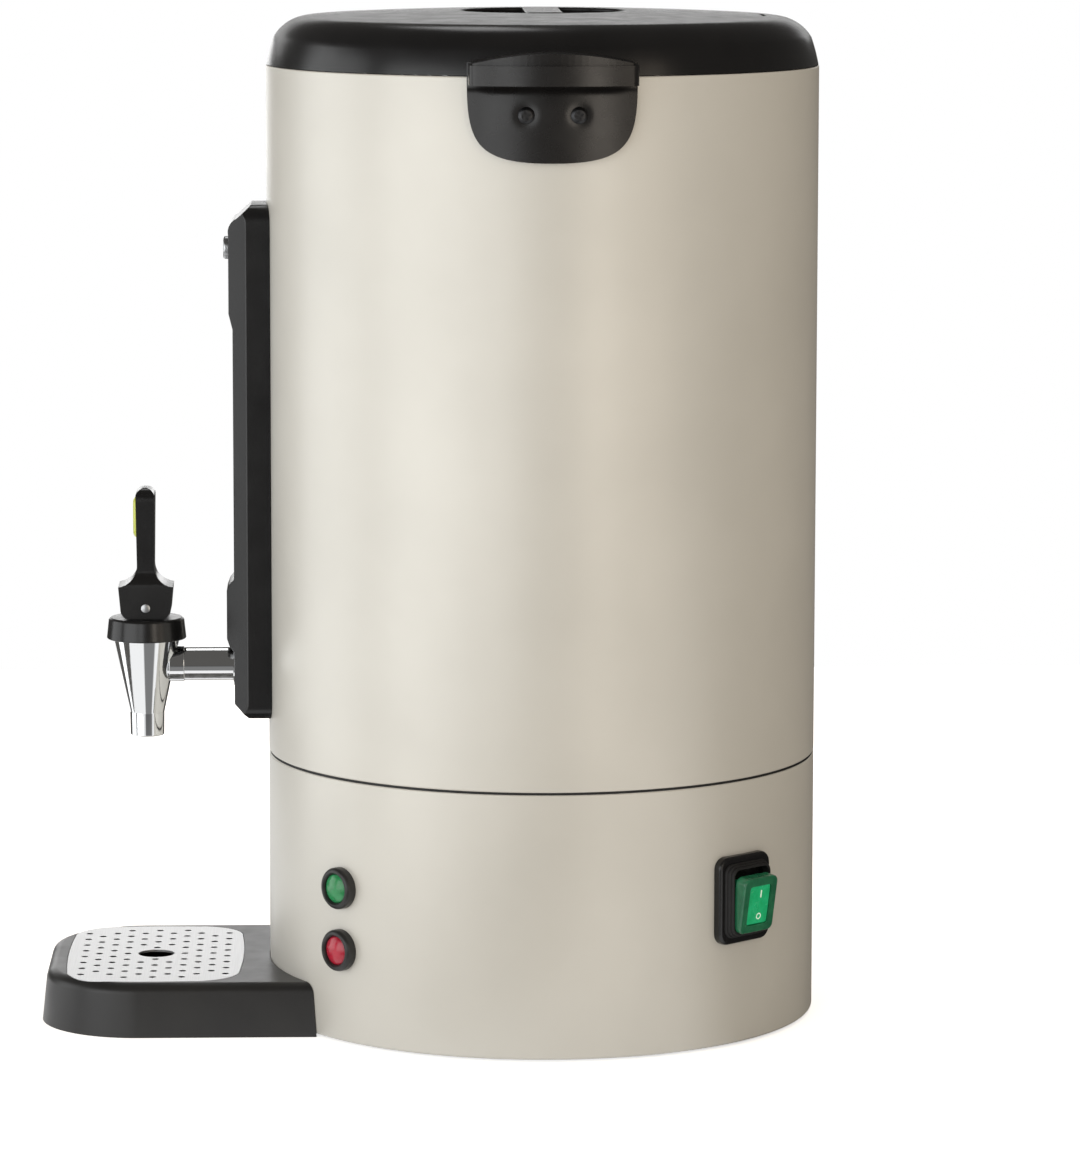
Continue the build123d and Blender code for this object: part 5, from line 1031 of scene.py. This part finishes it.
# %% Tap cap
cap_low, cap_top, cap_ceiling = 171.2, 181.0, 177.5
cap_foot_radius, cap_top_radius, cap_inside, stem_hole = 18.15, 17.1, 15.4, 2.9
cap_outline = [(cap_inside, cap_low), (cap_foot_radius, cap_low), (cap_top_radius, cap_top),
               (stem_hole, cap_top), (stem_hole, cap_ceiling), (cap_inside, cap_ceiling)]
cap_bm = moved(turned(cap_outline, {1: 0.6, 2: 1.5}, 128), (0, -tap_reach, 0))
finished("tap_cover", cap_bm, "drum", "black_moulding", ["tap_cap"])

# %% [markdown]
# ### Lever
# From the side the lever is a block that flares into a blade, and from the front it is wide,
# then narrow, then wide again. Two outlines laid through each other would give it too, but
# slicing the side shape into levels and giving each level its width keeps the faces clean,
# so that the edges can be rounded evenly.

# %% Side of the lever: how far it stands out from the tap's axis, and the height
lever_front = arc((6.6, 181.2), (9.7, 182.0), (11.4, 185.2), 8)
lever_front += arc((12.4, 196.0), (6.45, 199.0), (3.9, 205.6), 14)
lever_tip = arc((4.3, 237.7), (0, 240.9), (-4.3, 237.7), 16)
lever_side = lever_front + lever_tip + [(-out, z) for out, z in reversed(lever_front)]
block_half, neck_half, tip_half, tip_round = 11.0, 7.5, 9.5, 6.0
block_top, neck_level, tip_level, blade_middle = 196.0, 203.2, 234.9, 219.0


def lever_half_width(z):
    """Half width of the lever at a height, both in millimetres"""
    if z < block_top:
        return block_half
    if z < neck_level:
        swing = cos(pi * (z - block_top) / (neck_level - block_top))
        return (block_half + neck_half) / 2 + (block_half - neck_half) / 2 * swing
    if z < tip_level:
        return neck_half + (tip_half - neck_half) * (z - neck_level) / (tip_level - neck_level)
    return tip_half - tip_round + sqrt(max(tip_round ** 2 - (z - tip_level) ** 2, 0.0))


print("lever outline points", len(lever_side))

# %% Lever with its slot for the stem
flare_steps, tip_steps = 8, 10
flare_levels = [block_top + (neck_level - block_top) * step / flare_steps for step in range(flare_steps + 1)]
tip_levels = [tip_level + tip_round * sin(pi / 2 * step / tip_steps) for step in range(tip_steps)]
lever_bm = pushed_out([(-1, -tap_reach - out, z) for out, z in lever_side], (2, 0, 0))
sliced(lever_bm, (0, 0, 1), flare_levels + [blade_middle] + tip_levels)
for vert in lever_bm.verts:
    vert.co.x *= lever_half_width(vert.co.z / MM)
lever_round, across_limit = 0.9, 4.0
soften(lever_bm, lever_round, lambda e: abs(e.verts[0].co.x - e.verts[1].co.x) < across_limit * MM, angle=45)
slot_half, pin_height = 3.3, 186.2
slot_side = [(-3.2, pin_height), (-3.2, 172.8), (11.7, 172.8), (11.7, 179.0), (2.3, 188.5), (0, 191.4)]
stem_slot = pushed_out([(-slot_half, -tap_reach - out, z) for out, z in slot_side], (2 * slot_half, 0, 0))
lever_bm = combined("DIFFERENCE", lever_bm, stem_slot)
finished("tap_lever_handle", lever_bm, "lever", "black_moulding", ["tap_lever"], fine_angle)

# %% [markdown]
# ### Insert and pin of the lever
# A lime insert is clipped into the blade's front, and a steel pin holds the lever on the
# stem. The insert could be a painted patch, but its edge is seen from the side, so it is a
# slab with round ends and a strongly rounded face. The pin's ends are slightly domed.

# %% Lime insert and pin of the lever
insert_width, insert_height, insert_depth, insert_round = 10.4, 19.4, 3.3, 2.4
insert_back, insert_middle = 183.1, 227.0
insert_bm = rounded_slab(insert_width, insert_height, insert_width / 2, 0, insert_depth, 12)
soften(insert_bm, insert_round, at_top(insert_depth), segments=7)
insert_bm = placed(insert_bm, FORWARD, (0, -insert_back, insert_middle))
finished("tap_lever_insert", insert_bm, "lever", "lime_insert", ["lever_insert"])
pin_radius, pin_half, pin_dome = 2.2, 11.4, 0.3
pin_edge = pin_half - pin_dome
pin_side = [(0, -pin_half), (pin_radius, -pin_edge), (pin_radius, pin_edge), (0, pin_half)]
pin_bm = placed(turned(pin_side, {1: 0.5, 2: 0.5}, 48), (1, 0, 0), (0, -tap_reach, pin_height))
finished("tap_lever_pin", pin_bm, "lever", "screw_steel", ["lever_pin"])

# %% [markdown]
# ## Drip tray and its grid
# The tray is a drafted moulding: its walls lean in by 6 degrees towards the top, so that it
# leaves its tool. A box with tapered sides would have straight corners, so a low and a high
# outline, both with their corners rounded, are bridged. Its back follows the drum, and a
# ledge carries the grid.

# %% Plan of the grid, which the tray's ledge follows
grid_middle = 177.5
grid_level, grid_sheet = 24.0, 1.0
side_point, corner_point = (61.3, 17.5), (39.5, 39.05)
grid_quarter = arc((62, 0), (61.85, 8), side_point, 3)[:-1]
grid_quarter += arc(side_point, (55.2, 33.0), corner_point, 12)
grid_quarter += arc(corner_point, (20, 39.98), (0, 40.3), 5)[1:-1]
grid_plan = grid_quarter + [(0, 40.3)] + [(-x, y) for x, y in reversed(grid_quarter)]
grid_plan += [(x, -y) for x, y in reversed(grid_plan[1:-1])]


def inset_points(points, inset):
    """Moves the points of a closed flat outline inwards"""
    shifted = []
    for before, here, after in zip(points[-1:] + points[:-1], points, points[1:] + points[:1]):
        along = Vector((after[0] - before[0], after[1] - before[1])).normalized()
        shifted.append((here[0] - along.y * inset, here[1] + along.x * inset))
    return shifted


print("grid plan points", len(grid_plan))

# %% Tray
tray_half, tray_front, tray_back, tray_height, tray_corner = 70.8, 228.6, 62.5, 24.0, 45.0
tray_lean = tray_height * tan(radians(6))
tray_edge, tray_gap, tray_floor = 4.6, 0.3, 3.5
ledge_gap, ledge_depth, ledge_width = 0.3, 1.0, 4.0


def tray_corners(inset, z):
    """The four corners of the tray's plan, drawn in by an inset, at a height"""
    side, front = tray_half - inset, tray_front - inset
    return [(side, -tray_back, z), (-side, -tray_back, z), (-side, -front, z), (side, -front, z)]


def drafted(low, high, low_round, high_round, segments):
    """Solid between two outlines of four corners, whose front corners, the last two, are rounded"""
    bm = bmesh.new()
    outline(bm, low, {2: low_round, 3: low_round}, segments)
    outline(bm, high, {2: high_round, 3: high_round}, segments)
    bmesh.ops.bridge_loops(bm, edges=bm.edges[:])
    bmesh.ops.holes_fill(bm, edges=[e for e in bm.edges if e.is_boundary], sides=0)
    bmesh.ops.recalc_face_normals(bm, faces=bm.faces[:])
    return bm


tray_bm = drafted(tray_corners(0, 0), tray_corners(tray_lean, tray_height),
                  tray_corner, tray_corner - tray_lean, 24)
on_top = at_top(tray_height)
back_edge = -(tray_back + 0.1) * MM
soften(tray_bm, tray_edge, lambda e: on_top(e) and min(v.co.y for v in e.verts) < back_edge, segments=8)
drum_block = moved(rod(drum_radius + tray_gap, 40, drum_steps), (0, 0, -5))
ledge_plan, cavity_plan = inset_points(grid_plan, -ledge_gap), inset_points(grid_plan, ledge_width)
ledge = pushed_out([(x, y - grid_middle, tray_height - ledge_depth) for x, y in ledge_plan], (0, 0, 9))
cavity = pushed_out([(x, y - grid_middle, tray_floor) for x, y in cavity_plan], (0, 0, 30))
tray_bm = combined("DIFFERENCE", tray_bm, drum_block, ledge, cavity)
finished("tray_moulding", tray_bm, "tray", "tray_moulding", ["drip_tray"])

# %% [markdown]
# ### Grid
# Punched steel sheet with round holes in a staggered pattern and one large hole in the
# middle. A picture of holes would look flat when the grid is lifted, and cutting about
# ninety rods out of it would be slow. So the circles are drawn inside the outline, the area
# between them is filled in one step, and the sheet is extruded.

# %% Circles inside the outline
hole_radius, hole_sides, middle_hole, middle_sides = 1.6, 16, 8.3, 48
pitch_across, pitch_along = 6.5, 6.55
rows, columns, bare_columns, bare_radius = 17, 11, 3, 10.0
grid_bm = bmesh.new()
outline(grid_bm, [(x, y - grid_middle, grid_level) for x, y in grid_plan])
hole_places = []
for row in range(rows):
    for column in range(columns):
        across, along = (row - rows // 2) * pitch_across, (column - columns // 2) * pitch_along
        near_corner = row in (0, rows - 1) and not bare_columns <= column < columns - bare_columns
        if (row + column) % 2 == 1 and not near_corner and sqrt(across ** 2 + along ** 2) > bare_radius:
            hole_places.append(Vector((across, along - grid_middle, grid_level)) * MM)
            bmesh.ops.create_circle(grid_bm, cap_ends=False, segments=hole_sides, radius=hole_radius * MM,
                                    matrix=Matrix.Translation(hole_places[-1]))
bmesh.ops.create_circle(grid_bm, cap_ends=False, segments=middle_sides, radius=middle_hole * MM,
                        matrix=Matrix.Translation(Vector((0, -grid_middle, grid_level)) * MM))
print("holes", len(hole_places))

# %% Sheet of the grid; the holes are wider below, as punching tears them
hole_reach, hole_flare = hole_radius + 0.1, 0.45  # millimetres, share of the radius
bmesh.ops.triangle_fill(grid_bm, edges=grid_bm.edges[:], use_beauty=True, use_dissolve=False,
                        normal=(0, 0, 1))
grown = bmesh.ops.extrude_face_region(grid_bm, geom=grid_bm.faces[:])
lower = [g for g in grown["geom"] if isinstance(g, bmesh.types.BMVert)]
bmesh.ops.translate(grid_bm, verts=lower, vec=(0, 0, -grid_sheet * MM))
for vert in [v for v in grid_bm.verts if v.co.z < (grid_level - grid_sheet / 2) * MM]:
    for place in hole_places:
        offset = (vert.co - place) * Vector((1, 1, 0))
        if offset.length < hole_reach * MM:
            vert.co += offset * hole_flare
bmesh.ops.recalc_face_normals(grid_bm, faces=grid_bm.faces[:])
finished("tray_grid_sheet", grid_bm, "grid", "grid_steel", ["tray_grid"], weighted=False)

# %% [markdown]
# ## Lamps
# Two signal lamps with black rings and domed lenses sit on the curved wall. They could be
# bent to it, but each is made flat and then stood on the wall at its angle. Its low side
# reaches a little into the wall, as the real flange is shaped to it.

# %% Rings and lenses of the lamps
lamp_angle, lamp_sink = -47.5, 0.3
ring_radius, ring_bore, lens_radius = 9.35, 6.4, 6.3


def on_wall(bm, degrees, height):
    """Stands a piece on the drum's wall at an angle in degrees and a height in millimetres"""
    turn = radians(degrees)
    return placed(bm, (cos(turn), sin(turn), 0), (drum_radius * cos(turn), drum_radius * sin(turn), height))


ring_outline = [(ring_bore, -lamp_sink), (ring_radius, -lamp_sink)]
ring_outline += arc((ring_radius, 2.2), (8.8, 3.9), (7.3, 4.5), 10) + [(6.8, 4.1), (ring_bore, 3.2)]
lens_outline = [(0, -lamp_sink), (lens_radius, -lamp_sink)]
lens_outline += arc((lens_radius, 3.3), (3.4, 4.8), (0, 5.3), 10)
ring_slot = node_slots["lamp_rings"]
for colour, height in (("red", 42.9), ("green", 71.0)):
    ring_bm = on_wall(turned(ring_outline), lamp_angle, height)
    finished(f"lamp_ring_{colour}", ring_bm, "drum", ring_slot, ["lamp_rings"] if colour == "red" else (),
             look="tray_moulding")
    lens_bm = on_wall(turned(lens_outline, {1: 0.2}, 64), lamp_angle, height)
    finished(f"lamp_dome_{colour}", lens_bm, "drum", f"{colour}_lens", [f"lamp_lens_{colour}"])

# %% [markdown]
# ## Switch
# A rocker switch of the splash-proof kind: a black frame, a ribbed bellows, and a green
# cover over the rocker. The bellows can't be spun, because it is oblong, so it is a stack of
# three rounded slabs, each smaller and higher than the last, with one well cut through all.

# %% Frame and bellows of the switch
switch_angle, switch_height = 43.3, 67.0
switch_slot = node_slots["switch_frame"]
well_width, well_height, well_corner, well_floor, well_cut = 22.7, 28.6, 3.5, 0.8, 9.0
frame_width, frame_height, frame_corner, frame_sink, frame_top = 32.5, 39.6, 5.5, 1.0, 3.0
frame_round, bellows_round = 1.4, 0.5


def with_well(bm):
    """Cuts the well for the rocker out of a piece"""
    well = rounded_slab(well_width, well_height, well_corner, well_floor, well_cut)
    return combined("DIFFERENCE", bm, well)


plate_bm = rounded_slab(frame_width, frame_height, frame_corner, -frame_sink, frame_top, 8)
soften(plate_bm, frame_round, at_top(frame_top), segments=5)
plate_bm = on_wall(with_well(plate_bm), switch_angle, switch_height)
finished("switch_plate", plate_bm, "drum", switch_slot, ["switch_frame"])
# Name, width, height, corner radius, low level, high level
bellows = (
    ("low", 27.4, 33.4, 4.5, 2.5, 4.2),
    ("middle", 26.0, 31.8, 4.2, 4.0, 5.7),
    ("high", 24.6, 30.4, 3.8, 5.5, 7.0),
)
for name, width, tall, corner, low, high in bellows:
    ring_bm = rounded_slab(width, tall, corner, low, high)
    soften(ring_bm, bellows_round, at_top(high), segments=3)
    ring_bm = on_wall(with_well(ring_bm), switch_angle, switch_height)
    finished(f"switch_bellows_{name}", ring_bm, "drum", switch_slot, look="dark_rubber")

# %% [markdown]
# ### Cover and rocker
# The rocker is a bright green key inside a darker, softer cover, and both lean about the
# hinge, since the switch is off. They are modelled upright and then placed on the leaning
# direction, which is easier to measure than a leaning outline.

# %% Cover and rocker of the switch, tilted about its hinge
switch_turn, rocker_lean = radians(switch_angle), radians(8.7)
hinge_reach = 123.5
switch_out = Vector((cos(switch_turn), sin(switch_turn), 0))
rocker_out = switch_out * cos(rocker_lean) - Vector((0, 0, sin(rocker_lean)))
rocker_hinge = switch_out * hinge_reach + Vector((0, 0, switch_height))
cover_width, cover_height, cover_corner, cover_round = 21.7, 25.4, 3.0, 0.9
key_width, key_height, key_corner, key_round, key_gap = 13.7, 18.1, 1.4, 0.5, 0.1
cover_low, cover_top, key_low, key_top = 7.4, 12.85, -3.0, 12.3
cover_bm = rounded_slab(cover_width, cover_height, cover_corner, cover_low, cover_top)
soften(cover_bm, cover_round, at_top(cover_top))
key_hole = rounded_slab(key_width + key_gap, key_height + key_gap, key_corner + key_gap, 3, 15)
cover_bm = placed(combined("DIFFERENCE", cover_bm, key_hole), rocker_out, rocker_hinge)
finished("switch_cover", cover_bm, "rocker", "green_boot", ["switch_boot"])
key_bm = rounded_slab(key_width, key_height, key_corner, key_low, key_top, 4)
soften(key_bm, key_round, at_top(key_top), segments=3)
key_bm = placed(key_bm, rocker_out, rocker_hinge)
finished("switch_key", key_bm, "rocker", "green_rocker", ["switch_rocker"])

# %% Marks of the rocker: a bar for on and a ring for off
mark_side, bar_up, ring_down = 1.0, 5.0, 5.4
bar_width, bar_height, bar_depth = 0.7, 3.4, 0.16
ring_low, ring_high, ring_inside, ring_outside = 12.25, 12.38, 1.0, 1.5
marks_bm = bmesh.new()
bar_place = Matrix.Translation(Vector((mark_side, bar_up, key_top)) * MM)
bar_size = Matrix.Diagonal((bar_width, bar_height, bar_depth, 1))
bmesh.ops.create_cube(marks_bm, size=MM, matrix=bar_place @ bar_size)
ring_mark = turned([(ring_inside, ring_low), (ring_outside, ring_low), (ring_outside, ring_high),
                    (ring_inside, ring_high)], None, 32)
moved(ring_mark, (mark_side, -ring_down, 0))
ring_mesh = bpy.data.meshes.new("ring mark")
ring_mark.to_mesh(ring_mesh)
ring_mark.free()
marks_bm.from_mesh(ring_mesh)
placed(marks_bm, rocker_out, rocker_hinge)
# The ink of the marks glows faintly: painted light that keeps them bright
finished("switch_marks", marks_bm, "rocker", "green_rocker", look="mark_ink_with_painted_glow")

# %% [markdown]
# ## Small hardware
# Screws with a cross slot hold the handles, and a gland closes the hole for the cord on the
# hidden side. They are turned like the tap, and the cross is cut with two small blocks.

# %% Screws of the handles
head_radius, head_top, head_sink, seat_depth = 3.6, 1.8, 1.0, 1.5
head_outline = [(0, -head_sink), (head_radius, -head_sink), (head_radius, 0.9), (2.4, 1.7), (0, head_top)]
cross_turn, cross_level, cross_size = 0.3, 2.0, (4.0, 0.9, 2.0, 1)
for side, side_name in ((1, "right"), (-1, "left")):
    for across, place_name in ((screw_across, "rear"), (-screw_across, "front")):
        head_bm = turned(head_outline, {2: 0.4, 3: 1.2}, 48)
        for quarter in (0, 1):
            turn = Matrix.Rotation(quarter * pi / 2 + cross_turn, 4, "Z")
            slot_bm = bmesh.new()
            bmesh.ops.create_cube(slot_bm, size=MM, matrix=turn @ Matrix.Translation((0, 0, cross_level * MM))
                                  @ Matrix.Diagonal(cross_size))
            head_bm = combined("DIFFERENCE", head_bm, slot_bm)
        reach = sqrt((drum_radius + plate_depth) ** 2 - across ** 2) - seat_depth
        placed(head_bm, (side, 0, 0), (side * reach, across, screw_height))
        first_one = (side_name, place_name) == ("right", "rear")
        finished(f"handle_screw_{side_name}_{place_name}", head_bm, "drum", "screw_steel",
                 ["handle_screws"] if first_one else (), look="blackened_steel")

# %% Cord gland
gland_bore, gland_flange, gland_neck, gland_tip = 4.2, 11.0, 8.5, 7.0
gland_sink, gland_step, gland_length, gland_height = 1.0, 3.0, 9.0, 30.0
gland_outline = [(gland_bore, -gland_sink), (gland_flange, -gland_sink), (gland_flange, gland_step),
                 (gland_neck, gland_step), (gland_tip, gland_length), (gland_bore, gland_length)]
gland_bm = turned(gland_outline, {1: 0.4, 2: 0.8, 4: 0.8, 5: 0.5}, 64)
gland_slot = node_slots["cord_gland"]
finished("cord_inlet_gland", on_wall(gland_bm, 180, gland_height), "drum", gland_slot, ["cord_gland"])

# %% [markdown]
# ## Parts inside the drum
# The tank, the pump, the basket, the heaters and the underside show only when the lid is off
# or from below. They could be modelled again, but their solids already have the right shape,
# so a copy of each has its loose triangles joined, which lets it shade smoothly.

# %% Parts inside the drum, joined and smooth
join_gap = 0.005
for name, node in sorted(nodes.items()):
    if node.hide_render:
        continue
    inner_bm = bmesh.new()
    inner_bm.from_mesh(node.data)
    bmesh.ops.transform(inner_bm, matrix=node.matrix_world, verts=inner_bm.verts[:])
    bmesh.ops.remove_doubles(inner_bm, verts=inner_bm.verts[:], dist=join_gap * MM)
    finished(f"{name}_smooth", inner_bm, body_of(node)[0], node_slots[name], [name])
